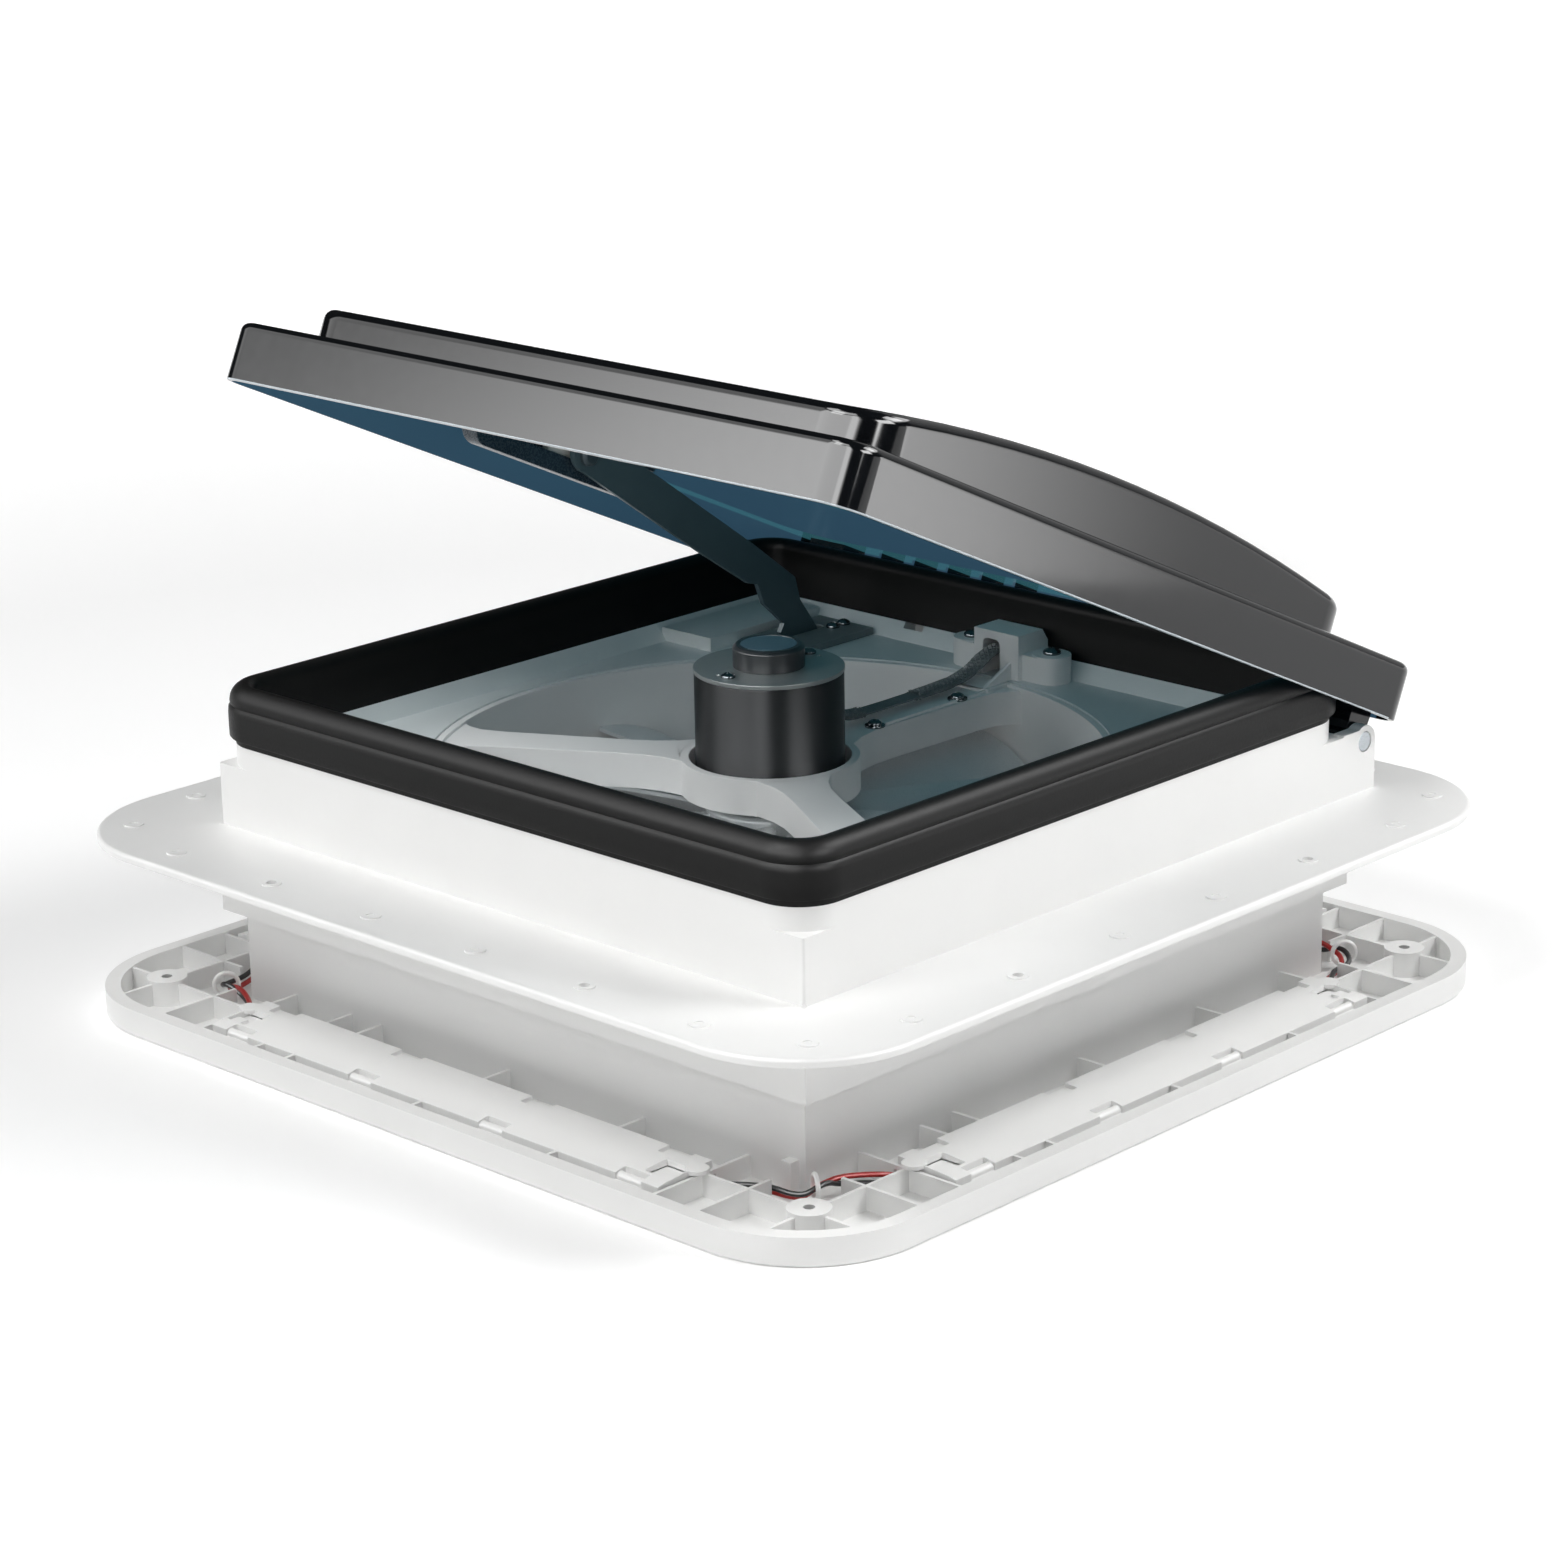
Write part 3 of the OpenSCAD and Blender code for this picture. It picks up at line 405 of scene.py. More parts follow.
# Gearbox: black glass-filled nylon
nylonBlack = grainedSurface("nylonBlackGlassFilled", {
    "colour": "#202224", "shade": "#292b2e", "roughness": 0.48, "grainMm": 0.7, "bump": 0.14,
    "depthMm": 0.03})
# Light lenses: opal acrylic
acrylicOpal = grainedSurface("acrylicOpalDiffuser", {
    "colour": "#f2f2ec", "shade": "#eeeee8", "roughness": 0.3, "grainMm": 0.5, "bump": 0.05,
    "depthMm": 0.02, "ior": 1.49})
# Wire insulation, extruded PVC
pvcRed = grainedSurface("pvcRedExtruded", {
    "colour": "#b3231f", "shade": "#a01c1a", "roughness": 0.32, "grainMm": 0.8, "bump": 0.05,
    "depthMm": 0.02})
pvcBlack = grainedSurface("pvcBlackExtruded", {
    "colour": "#1d1d1e", "shade": "#262627", "roughness": 0.34, "grainMm": 0.8, "bump": 0.05,
    "depthMm": 0.02})
# Braided polyester sleeve of the motor cable
sleeveBraid = grainedSurface("polyesterBraidedSleeve", {
    "colour": "#757c7e", "shade": "#5b6163", "roughness": 0.5, "grainMm": 0.6, "bump": 0.3,
    "depthMm": 0.08})
# Insect screen: coated glass yarn
meshCoated = grainedSurface("glassYarnMeshCoated", {
    "colour": "#63676a", "shade": "#565a5d", "roughness": 0.45, "grainMm": 0.6, "bump": 0.2,
    "depthMm": 0.04})
print("materials made")


# Pieces that keep the CAD shape and get rounded edges: edge radius in mm and finish

dressed = {
    "base_flange": (0.55, absWhite),
    "fan_deck": (0.6, absDeck),
    "venturi_spider": (0.45, absWhite),
    "throat_screws": (0.2, steelZinc),
    "hinge_pins": (0.35, steelZinc),
    "lid_rail": (0.8, nylonDark),
    "rail_screws": (0.2, steelZinc),
    "lift_arm": (0.45, steelArm),
    "arm_shaft": (0.3, steelGround),
    "arm_pin": (0.4, steelBlack),
    "track_slider": (0.5, nylonNatural),
    "lift_bracket": (0.5, steelBracket),
    "bracket_screws": (0.2, steelNickel),
    "sector_gear": (0.15, nylonNatural),
    "lift_pinion": (0.15, nylonNatural),
    "lift_gearbox": (0.8, nylonBlack),
    "lift_motor": (0.6, steelZinc),
    "motor_can": (0.8, steelCan),
    "motor_end_plate": (0.35, steelGunmetal),
    "motor_cap": (0.3, phenolicCap),
    "motor_screws": (0.2, steelNickel),
    "motor_shaft": (0.3, steelGround),
    "impeller_nut": (0.3, steelZinc),
    "cable_bridge": (0.4, absWhite),
    "bridge_screws": (0.25, steelNickel),
    "arm_screws": (0.15, steelNickel),
    "trim_ring": (0.4, absWhite),
    "light_bar_front": (0.4, absBar),
    "light_bar_right": (0.4, absBar),
    "light_bar_back": (0.4, absBar),
    "light_bar_left": (0.4, absBar),
    "light_lens_front": (0.3, acrylicOpal),
    "light_lens_right": (0.3, acrylicOpal),
    "light_lens_back": (0.3, acrylicOpal),
    "light_lens_left": (0.3, acrylicOpal),
    "screen_frame": (0.5, absWhite),
    "screen_clips": (0.3, absWhite),
}
# Larger roundings and small changes of shape, made before the plain edges are rounded
flangeLook = {"half": 231, "corner": 58, "thick": 4, "topRound": 1.8, "underRound": 0.8, "box": 175.3,
              "ledge": 32, "boxRound": 1.2, "markFloor": 2, "markRise": 2.35}
trimLook = {"half": 231, "corner": 56, "under": -80.4, "underRound": 1.3, "boss": 195.4, "bore": 5,
            "boreNow": 2.4, "bossTop": -67}
bridgeLook = {"middle": -3, "spring": 46.5, "radius": 5, "squareness": 4.5, "flatten": 0.9}


def shapeFlange(obj):
    look = flangeLook
    makeActive(obj)
    editMode("FACE")
    # The floors of the round marks outside the box rise a little above the flange's top
    pick("FACE", lambda f: f.normal.z > 0.9
         and abs(f.calc_center_median().z / mm - look["markFloor"]) < 0.05
         and outlineGap(*(f.calc_center_median() / mm).xy, look["box"], look["box"], 1) > 20)
    bpy.ops.transform.translate(value=(0, 0, look["markRise"] * mm))
    objectMode()
    edge = (look["half"], look["half"], look["corner"])
    bevelWhere(obj, lambda c: abs(outlineGap(c.x / mm, c.y / mm, *edge)) < 0.1
               and abs(c.z / mm - look["thick"]) < 0.05, look["topRound"], 4)
    bevelWhere(obj, lambda c: abs(outlineGap(c.x / mm, c.y / mm, *edge)) < 0.1
               and abs(c.z / mm) < 0.05, look["underRound"], 3)
    bevelWhere(obj, lambda c: abs(abs(c.x / mm) - look["box"]) < 0.05
               and abs(abs(c.y / mm) - look["box"]) < 0.05
               and look["thick"] < c.z / mm < look["ledge"], look["boxRound"], 3)


def shapeTrim(obj):
    look = trimLook
    edge = (look["half"], look["half"], look["corner"])
    bevelWhere(obj, lambda c: abs(outlineGap(c.x / mm, c.y / mm, *edge)) < 0.1
               and abs(c.z / mm - look["under"]) < 0.05, look["underRound"], 3)
    makeActive(obj)
    editMode("VERT")
    for sideX in (-1, 1):
        for sideY in (-1, 1):
            boss = Vector((sideX * look["boss"], sideY * look["boss"], look["bossTop"])) * mm
            if pick("VERT", lambda v: abs((v.co - boss).length / mm - look["bore"]) < 0.1
                    and abs(v.co.z - boss.z) < 0.1 * mm):
                bpy.ops.transform.resize(value=[look["boreNow"] / look["bore"]] * 2 + [1],
                                         center_override=boss)
    objectMode()


# The round arch of the cable opening gets a flat top with rounded corners
def shapeBridge(obj):
    look = bridgeLook
    makeActive(obj)
    editMode("VERT")
    mesh = bmesh.from_edit_mesh(obj.data)
    arc = sorted({(round(v.co.x / mm, 3), round(v.co.z / mm, 3)) for v in mesh.verts
                  if v.co.z / mm > look["spring"]
                  and abs(math.hypot(v.co.x / mm - look["middle"], v.co.z / mm - look["spring"])
                          - look["radius"]) < 0.05})
    for x, z in arc:
        across, up = (x - look["middle"]) / look["radius"], (z - look["spring"]) / look["radius"]
        n = look["squareness"]
        grow = (abs(across) ** n + abs(up) ** n) ** (-1 / n) - 1
        pick("VERT", lambda v: abs(v.co.x / mm - x) < 0.002 and abs(v.co.z / mm - z) < 0.002)
        bpy.ops.transform.translate(value=(across * look["radius"] * grow * mm, 0,
                                           up * look["radius"] * grow * look["flatten"] * mm))
    objectMode()


shapings = {"base_flange": shapeFlange, "trim_ring": shapeTrim, "cable_bridge": shapeBridge}


# Cross recesses in the screw heads, cut with two thin blocks. Places in mm, with the top of the head
crossLook = {"size": 3.0, "wide": 0.75, "deep": 1.0, "turns": (20, 110), "places": {
    "bracket_screws": [(-107.6, 148, 40), (-107.6, 155.6, 40)],
    "motor_screws": [(0, 16.5, 74.9), (0, -34.5, 74.9)],
    "bridge_screws": [(-24, 154, 50), (24, 154, 50)],
    "arm_screws": [(6.5, 52, 35.3), (6.5, 108, 35.3)]}}


def cutCrosses(obj, places):
    cutters = []
    for x, y, top in places:
        for turn in crossLook["turns"]:
            bpy.ops.mesh.primitive_cube_add(size=1, location=(x * mm, y * mm, top * mm),
                                            rotation=(0, 0, math.radians(turn)))
            cutter = bpy.context.active_object
            cutter.scale = (crossLook["size"] * mm, crossLook["wide"] * mm, 2 * crossLook["deep"] * mm)
            cutters.append(freeze(cutter))
    tool = joinPieces(cutters, "crossCutter")
    applyModifier(obj, "BOOLEAN", operation="DIFFERENCE", solver="EXACT", object=tool, use_self=True)
    bpy.data.objects.remove(tool)
    smoothFaces(obj)


for name, (radius, material) in dressed.items():
    piece = softCopy(name, name + "_dressed", radius, shapings.get(name))
    if name in crossLook["places"]:
        cutCrosses(piece, crossLook["places"][name])
    settle(piece, name, material)
print("dressed", len(dressed), "pieces")


# Catches in the holes of the light bars and the round tongues at their ends
catchLook = {"hole": 128, "across": -204.25, "plate": (13.2, 12.0, 1.2), "plateTop": -69.6,
             "block": (6.5, 5, 2.2), "blockShift": 3, "blockRise": 1.4, "tongueAt": (136.4, -196.6),
             "tongue": 5.0, "tongueTop": -66.5, "tongueDeep": 1.9, "edge": 0.35}
for number, side in enumerate(("front", "right", "back", "left")):
    pieces = []
    for end in (-1, 1):
        for shape, shift, rise in (("plate", 0, 0),
                                   ("block", catchLook["blockShift"], catchLook["blockRise"])):
            size = catchLook[shape]
            bpy.ops.mesh.primitive_cube_add(size=1, location=(
                end * (catchLook["hole"] + shift) * mm, (catchLook["across"] - shift) * mm,
                (catchLook["plateTop"] + rise - size[2] / 2) * mm))
            bpy.context.active_object.scale = [v * mm for v in size]
            pieces.append(freeze(bpy.context.active_object))
        bpy.ops.mesh.primitive_cylinder_add(
            vertices=40, radius=catchLook["tongue"] * mm, depth=catchLook["tongueDeep"] * mm,
            location=(end * catchLook["tongueAt"][0] * mm, catchLook["tongueAt"][1] * mm,
                      (catchLook["tongueTop"] - catchLook["tongueDeep"] / 2) * mm))
        pieces.append(freeze(bpy.context.active_object))
    catch = joinPieces(pieces, "bar_catches_" + side)
    softenEdges(catch, catchLook["edge"])
    catch.data.transform(Matrix.Rotation(math.radians(90 * number), 4, "Z"))
    settle(catch, "light_bar_" + side, absBar)

# The bare disc let into the motor cap, its place for a label left empty
discLook = {"radius": 12.3, "thick": 0.3, "at": (0, -9, 82.33), "edge": 0.1}
bpy.ops.mesh.primitive_cylinder_add(vertices=96, radius=discLook["radius"] * mm,
                                    depth=discLook["thick"] * mm,
                                    location=[v * mm for v in discLook["at"]])
disc = freeze(bpy.context.active_object)
disc.name = "cap_disc"
softenEdges(disc, discLook["edge"])
settle(disc, "motor_cap", steelDisc)
print("small parts added")


# Lid: rounded ledge and crown edges, dark outside, painted blue light inside and a painted highlight on
# the rim. Places are for the closed lid, in mm.
# Each tier has its middle along Y, half widths and corner radius. A lug lies past these X and Y and
# below this Z
lidLook = {"open": 24.7, "hinge": (0, 189.2, 26.6), "lowerY": 2, "lower": (183.5, 203, 15),
           "upperY": -3.5, "upper": (165.5, 175.5, 25), "ledgeZ": 65, "crownFrom": 70, "rimTo": 39,
           "rimTop": 39.6, "wallFrom": 39.4, "wall": 0.9, "lug": (140, 175, 62), "ribsWithin": 130,
           "inside": (0, 2, 20), "ledgeRound": 4.0, "crownRound": 4.5, "footRound": 2.2,
           "rimRound": 0.7}
lidHinge = Vector(lidLook["hinge"])


def closedPlace(co):
    return Matrix.Rotation(math.radians(lidLook["open"]), 3, "X") @ (co / mm - lidHinge) + lidHinge


def onLower(p):
    return abs(outlineGap(p.x, p.y - lidLook["lowerY"], *lidLook["lower"])) < 0.12


def onUpper(p):
    return abs(outlineGap(p.x, p.y - lidLook["upperY"], *lidLook["upper"])) < 0.12


# Which material a face of the lid gets: 0 outside, 1 inner walls with painted daylight glow, 2 ceiling
# with painted reflection and glow, 3 rim with a painted highlight
def lidPaintedLightZone(face):
    look = lidLook
    p = closedPlace(face.calc_center_median())
    n = Matrix.Rotation(math.radians(look["open"]), 3, "X") @ face.normal
    away = n.dot(p - Vector(look["inside"]))
    lug = abs(p.x) > look["lug"][0] and p.y > look["lug"][1] and p.z < look["lug"][2]
    rib = abs(n.x) > 0.9 and abs(p.x) < look["ribsWithin"]
    atRim = outlineGap(p.x, p.y - look["lowerY"], *look["lower"]) > -look["wall"]
    if p.z < look["rimTop"] and atRim and not lug:
        return 3
    if away > 0 or lug or rib or p.z < look["wallFrom"]:
        return 0
    return 2 if n.z < -0.7 else 1


lid = copyOfNode("lid_shell", "lid_smoked")
bevelWhere(lid, lambda c: onLower(closedPlace(c)) and abs(closedPlace(c).z - lidLook["ledgeZ"]) < 0.1,
           lidLook["ledgeRound"], 5, False)
bevelWhere(lid, lambda c: onUpper(closedPlace(c)) and abs(closedPlace(c).z - lidLook["ledgeZ"]) < 0.1,
           lidLook["footRound"], 4, False)
bevelWhere(lid, lambda c: onUpper(closedPlace(c)) and closedPlace(c).z > lidLook["crownFrom"],
           lidLook["crownRound"], 5, False)
bevelWhere(lid, lambda c: onLower(closedPlace(c)) and closedPlace(c).z < lidLook["rimTo"],
           lidLook["rimRound"], 2, False)
paint(lid, acrylicSmoked, lidInnerPaintedLight, lidCeilingPaintedLight, lidRimPaintedHighlight)
makeActive(lid)
editMode("FACE")
for zone in (1, 2, 3):
    pick("FACE", lambda f: lidPaintedLightZone(f) == zone)
    lid.active_material_index = zone
    bpy.ops.object.material_slot_assign()
objectMode()
smoothFaces(lid)
settle(lid, "lid_shell")
print("lid made")


# Seal: one profile of apron, crease and bulb, led round the box by extrude and spin

sealLook = {"cornerAt": 155.3, "turnSteps": 12, "foot": (0, 0, 0.045), "squashTo": 0.72, "profile": (
    (165.2, 42), (175.4, 42), (175.4, 45.4), (177.6, 45), (178, 45.6), (178.1, 50), (178.1, 56),
    (177.9, 58.4), (177.3, 59.2), (176.9, 59.7), (177.2, 60.3), (177.3, 61.4), (177, 63.2), (176.2, 65),
    (174.9, 66.6), (173.2, 67.8), (171.3, 68.4), (169.4, 68.2), (167.8, 67.3), (166.7, 65.8),
    (166.3, 63.6), (166.6, 60.5), (166, 56), (165.4, 48))}


def ledRound(name, profile, corner, steps):
    bpy.ops.mesh.primitive_circle_add(vertices=len(profile), radius=0.01, location=(0, 0, 0))
    obj = bpy.context.active_object
    obj.name = name
    for vertex, (x, z) in zip(obj.data.vertices, profile):
        vertex.co = (x * mm, -corner * mm, z * mm)
    makeActive(obj)
    editMode("EDGE")
    bpy.ops.mesh.select_all(action="SELECT")
    heading = Vector((0, 1, 0))
    centre = Vector((corner, corner, 0)) * mm
    for side in range(4):
        bpy.ops.mesh.extrude_edges_move(TRANSFORM_OT_translate={"value": heading * 2 * corner * mm})
        bpy.ops.mesh.spin(steps=steps, angle=math.radians(-90), center=centre, axis=(0, 0, 1))
        heading = Matrix.Rotation(math.radians(90), 3, "Z") @ heading
        centre = Matrix.Rotation(math.radians(90), 3, "Z") @ centre
    bpy.ops.mesh.select_all(action="SELECT")
    bpy.ops.mesh.remove_doubles(threshold=0.02 * mm)
    bpy.ops.mesh.normals_make_consistent(inside=False)
    objectMode()
    return obj


seal = ledRound("seal_bulb", sealLook["profile"], sealLook["cornerAt"], sealLook["turnSteps"])
makeActive(seal)
bpy.ops.object.shade_smooth_by_angle(angle=math.radians(50))
settle(seal, "lid_gasket", epdmSeal)
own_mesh(seal)
print("seal made")


# Fan wheel: a cupped hub and ten swept, cambered blades

hubLook = {"radius": 29, "deep": 20, "z": 1, "wall": 2.5, "cup": 17, "toBoss": 18.5, "boss": 16,
           "roundFrom": 10.5, "round": 2.5, "edge": 0.4}
bpy.ops.mesh.primitive_cylinder_add(vertices=64, radius=hubLook["radius"] * mm,
                                    depth=hubLook["deep"] * mm, location=(0, 0, hubLook["z"] * mm))
wheel = freeze(bpy.context.active_object)
editMode("FACE")
pick("FACE", lambda f: f.normal.z < -0.9)
bpy.ops.mesh.inset(thickness=hubLook["wall"] * mm)
bpy.ops.mesh.extrude_region_move(TRANSFORM_OT_translate={"value": (0, 0, hubLook["cup"] * mm)})
bpy.ops.mesh.inset(thickness=hubLook["toBoss"] * mm)
bpy.ops.mesh.extrude_region_move(TRANSFORM_OT_translate={"value": (0, 0, -hubLook["boss"] * mm)})
pick("EDGE", lambda e: sharpEdge(e) and middle(e).z > hubLook["roundFrom"] * mm)
bpy.ops.mesh.bevel(offset=hubLook["round"] * mm, segments=4, affect="EDGES", clamp_overlap=False)
objectMode()
softenEdges(wheel, hubLook["edge"])

# The blades' chord, pitch and sweep run from root to tip, whose corner is rounded off in the last tenth
wheelLook = {"count": 10, "at": (0, -9, 0), "root": 26, "tip": 145.3, "stations": 15, "rows": 8,
             "chord": (22, 54), "chordPower": 0.7, "tipFrom": 0.9, "tipCut": 3.2, "pitch": (36, 19),
             "sweep": 15, "sweepBack": 0.55, "camber": 4.5, "thick": 1.7, "z": 0.5, "first": 12}

look = wheelLook
span = look["tip"] - look["root"]
bpy.ops.mesh.primitive_grid_add(x_subdivisions=look["stations"] - 1, y_subdivisions=look["rows"], size=1,
                                location=((look["root"] + look["tip"]) / 2 * mm, 0, 0))
blade = bpy.context.active_object
blade.scale = (span * mm, mm, 1)
freeze(blade)
editMode("VERT")
for station in range(look["stations"]):
    along = station / (look["stations"] - 1)
    radius = (look["root"] + along * span) * mm
    chord = look["chord"][0] + (look["chord"][1] - look["chord"][0]) * along ** look["chordPower"]
    if along > look["tipFrom"]:
        chord *= 1 - look["tipCut"] * (along - look["tipFrom"]) ** 1.3
    pitch = look["pitch"][0] + (look["pitch"][1] - look["pitch"][0]) * along
    column = span * mm * 0.4 / look["stations"]
    for row in range(look["rows"] + 1):
        across = row / look["rows"] - 0.5
        if pick("VERT", lambda v: abs(v.co.x - radius) < column and abs(v.co.y - across * mm) < 0.02 * mm
                and abs(v.co.z) < 1e-6):
            turn = math.radians(pitch)
            y, z = across * chord, look["camber"] * (1 - 4 * across * across)
            sweep = look["sweep"] * (along ** 2 - along * look["sweepBack"])
            bpy.ops.transform.translate(value=(
                0, (y * math.cos(turn) - z * math.sin(turn) + sweep - across) * mm,
                (y * math.sin(turn) + z * math.cos(turn) + 0.0005) * mm))
objectMode()
applyModifier(blade, "SUBSURF", levels=1, render_levels=1)
applyModifier(blade, "SOLIDIFY", thickness=look["thick"] * mm, offset=0)
smoothFaces(blade, 40)
place = Matrix.Translation(Vector(look["at"]) * mm)
blades = []
for number in range(look["count"]):
    angle = math.radians(number * 360 / look["count"] + look["first"])
    blades.append(copyTurned(blade, "wheel_blade_%02d" % number, place @ Matrix.Rotation(angle, 4, "Z")
                             @ Matrix.Translation((0, 0, look["z"] * mm))))
bpy.data.objects.remove(blade)
wheel.data.transform(place)
wheel.name = "wheel_hub"
settle(wheel, "impeller", absSilver)
for piece in blades:
    settle(piece, "impeller", absSilver)
print("fan wheel made")


# Wires and cable as round tubes on the routes of the part

def tubeOn(name, points, radius, sides=4, fine=3):
    curve = bpy.data.curves.new(name, "CURVE")
    curve.dimensions = "3D"
    curve.bevel_depth = radius * mm
    curve.bevel_resolution = sides
    curve.use_fill_caps = True
    curve.resolution_u = fine
    line = curve.splines.new("NURBS")
    line.points.add(len(points) - 1)
    for spot, place in zip(line.points, points):
        spot.co = (place[0] * mm, place[1] * mm, place[2] * mm, 1)
    line.use_endpoint_u = True
    line.order_u = 3
    obj = bpy.data.objects.new(name, curve)
    bpy.context.scene.collection.objects.link(obj)
    makeActive(obj)
    bpy.ops.object.convert(target="MESH")
    editMode("VERT")
    bpy.ops.mesh.select_all(action="SELECT")
    bpy.ops.mesh.remove_doubles(threshold=0.01 * mm)
    bpy.ops.mesh.normals_make_consistent(inside=False)
    objectMode()
    bpy.ops.object.shade_smooth_by_angle(angle=math.radians(50))
    return bpy.context.active_object


# Wires of the lights in one corner, led from one bar to the next
wireLook = {"radius": 1.15, "red": (
    (133, -190.3, -73.6), (137, -190.3, -73.6), (141, -190, -73.6), (147, -187, -74),
    (155, -182.4, -74.6), (163, -179.6, -75.2), (170, -178.4, -75.6), (175, -176.6, -74.6),
    (177.6, -173.6, -71.6), (178.4, -169.4, -70.4), (180.2, -163, -69.2), (183.6, -154, -70),
    (188.4, -146.4, -70.8), (190.6, -140.6, -72.4), (190.3, -136.6, -73.6), (190.3, -133, -73.6)),
    "black": (
    (133, -193.3, -73.6), (137, -193.3, -73.6), (141, -192.9, -73.4), (147.6, -189.6, -72.8),
    (155.8, -184.6, -72.4), (163, -181, -72.6), (171, -180.8, -73), (177.6, -179, -72.4),
    (180.2, -174.6, -69.8), (180.8, -169, -69.2), (179.8, -162.6, -72.2), (182.6, -154.6, -73.6),
    (188.2, -147.2, -74.4), (192.9, -141, -73.6), (193.3, -136.6, -73.6), (193.3, -133, -73.6))}
for colour, material in (("red", pvcRed), ("black", pvcBlack)):
    first = tubeOn("wire_" + colour, wireLook[colour], wireLook["radius"])
    for corner in range(4):
        wire = copyTurned(first, "wire_%s_%d" % (colour, corner),
                          Matrix.Rotation(math.radians(90 * corner), 4, "Z"))
        settle(wire, "wires_" + colour, material)
    bpy.data.objects.remove(first)

# The sleeve leaves the wires bare between two runs from the motor's end, in mm
cableLook = {"wires": 5, "wireRadius": 0.85, "wireApart": 1.66, "yarns": 7, "yarnRadius": 0.46,
             "wide": 4.3, "flat": 2.1, "lay": 19, "bareFrom": 32, "bareTo": 68, "step": 2.5, "route": (
                 (-4, 24, 46), (-4, 30, 45.5), (-4, 36, 41), (-4, 44, 37), (-4, 60, 36), (-4, 90, 36),
                 (-4, 114, 36.5), (-4, 128, 39), (-3.5, 138, 44), (-3, 147, 46.5), (-3, 153, 44.5),
                 (-3, 155, 39), (-3, 155, 33), (-3, 155, 24))}


# Even points along a route, every few mm, with the direction at each
def alongRoute(route, step):
    points = [Vector(p) for p in route]
    done = []
    for i in range(len(points) - 1):
        a, b = points[max(i - 1, 0)], points[i]
        c, d = points[i + 1], points[min(i + 2, len(points) - 1)]
        count = max(2, int((c - b).length / step))
        for k in range(count):
            t = k / count
            done.append(0.5 * (2 * b + (c - a) * t + (2 * a - 5 * b + 4 * c - d) * t * t
                               + (3 * b - a - 3 * c + d) * t ** 3))
    done.append(points[-1])
    return done


middleLine = alongRoute(cableLook["route"], cableLook["step"])
runs = [0]
frames = []
for i, spot in enumerate(middleLine):
    before, after = middleLine[max(i - 1, 0)], middleLine[min(i + 1, len(middleLine) - 1)]
    side = Vector((1, 0, 0))  # the route stays near one plane, so this is across it
    frames.append((side, side.cross((after - before).normalized()).normalized()))
    runs.append(runs[-1] + (after - spot).length)
strands = []
for wire in range(cableLook["wires"]):
    shift = (wire - (cableLook["wires"] - 1) / 2) * cableLook["wireApart"]
    strands.append(tubeOn("cable_wire_%d" % wire,
                          [spot + frames[i][0] * shift for i, spot in enumerate(middleLine)],
                          cableLook["wireRadius"], 2))
for handed in (-1, 1):
    for yarn in range(cableLook["yarns"]):
        spans = [[], []]
        for i, spot in enumerate(middleLine):
            side, over = frames[i]
            turn = 2 * math.pi * (yarn / cableLook["yarns"] + handed * runs[i] / cableLook["lay"])
            place = (spot + side * cableLook["wide"] * math.cos(turn)
                     + over * cableLook["flat"] * math.sin(turn))
            if runs[i] < cableLook["bareFrom"]:
                spans[0].append(place)
            elif runs[i] > cableLook["bareTo"]:
                spans[1].append(place)
        for span in spans:
            strands.append(tubeOn("cable_yarn", span, cableLook["yarnRadius"], 1))
settle(joinPieces(strands, "cable_braid"), "motor_cable", sleeveBraid)
loops = copyOfNode("wire_loops", "wire_loops_smooth")
softenEdges(loops, 0)
settle(loops, "wire_loops", absBar)
print("wires made")


# Insect screen: two layers of fine threads

screenLook = {"half": 161.9, "pitch": 2.4, "thread": 0.42, "thick": 0.3, "edge": 0.1, "z": -60.6,
              "layerApart": 0.4}
count = int(2 * screenLook["half"] / screenLook["pitch"]) + 1
layers = []
for layer, turn in enumerate((0, 90)):
    height = screenLook["z"] + screenLook["layerApart"] * (0.5 - layer)
    bpy.ops.mesh.primitive_cube_add(size=1, location=(-screenLook["half"] * mm, 0, height * mm))
    thread = bpy.context.active_object
    thread.scale = (screenLook["thread"] * mm, 2 * screenLook["half"] * mm, screenLook["thick"] * mm)
    freeze(thread)
    bevelWhere(thread, lambda c: abs(c.y) < 0.01, screenLook["edge"], 1)
    applyModifier(thread, "ARRAY", count=count, use_relative_offset=False, use_constant_offset=True,
                  constant_offset_displace=(2 * (screenLook["half"] - screenLook["layerApart"] / 2) * mm
                                            / (count - 1), 0, 0))
    thread.data.transform(Matrix.Rotation(math.radians(turn), 4, "Z"))
    layers.append(thread)
settle(joinPieces(layers, "screen_threads"), "screen_mesh", meshCoated)
print("insect screen made")


# Stage, light and camera

# The paper glows a little under the part and fully far out, where it has lamps of its own to stay white
stageLook = {"floorZ": -0.0806, "floorSize": 30.0, "paper": "#fdfdfd", "paperGlow": 0.1, "farGlow": 1.0,
             "glowFrom": 0.8, "glowTo": 2.4}

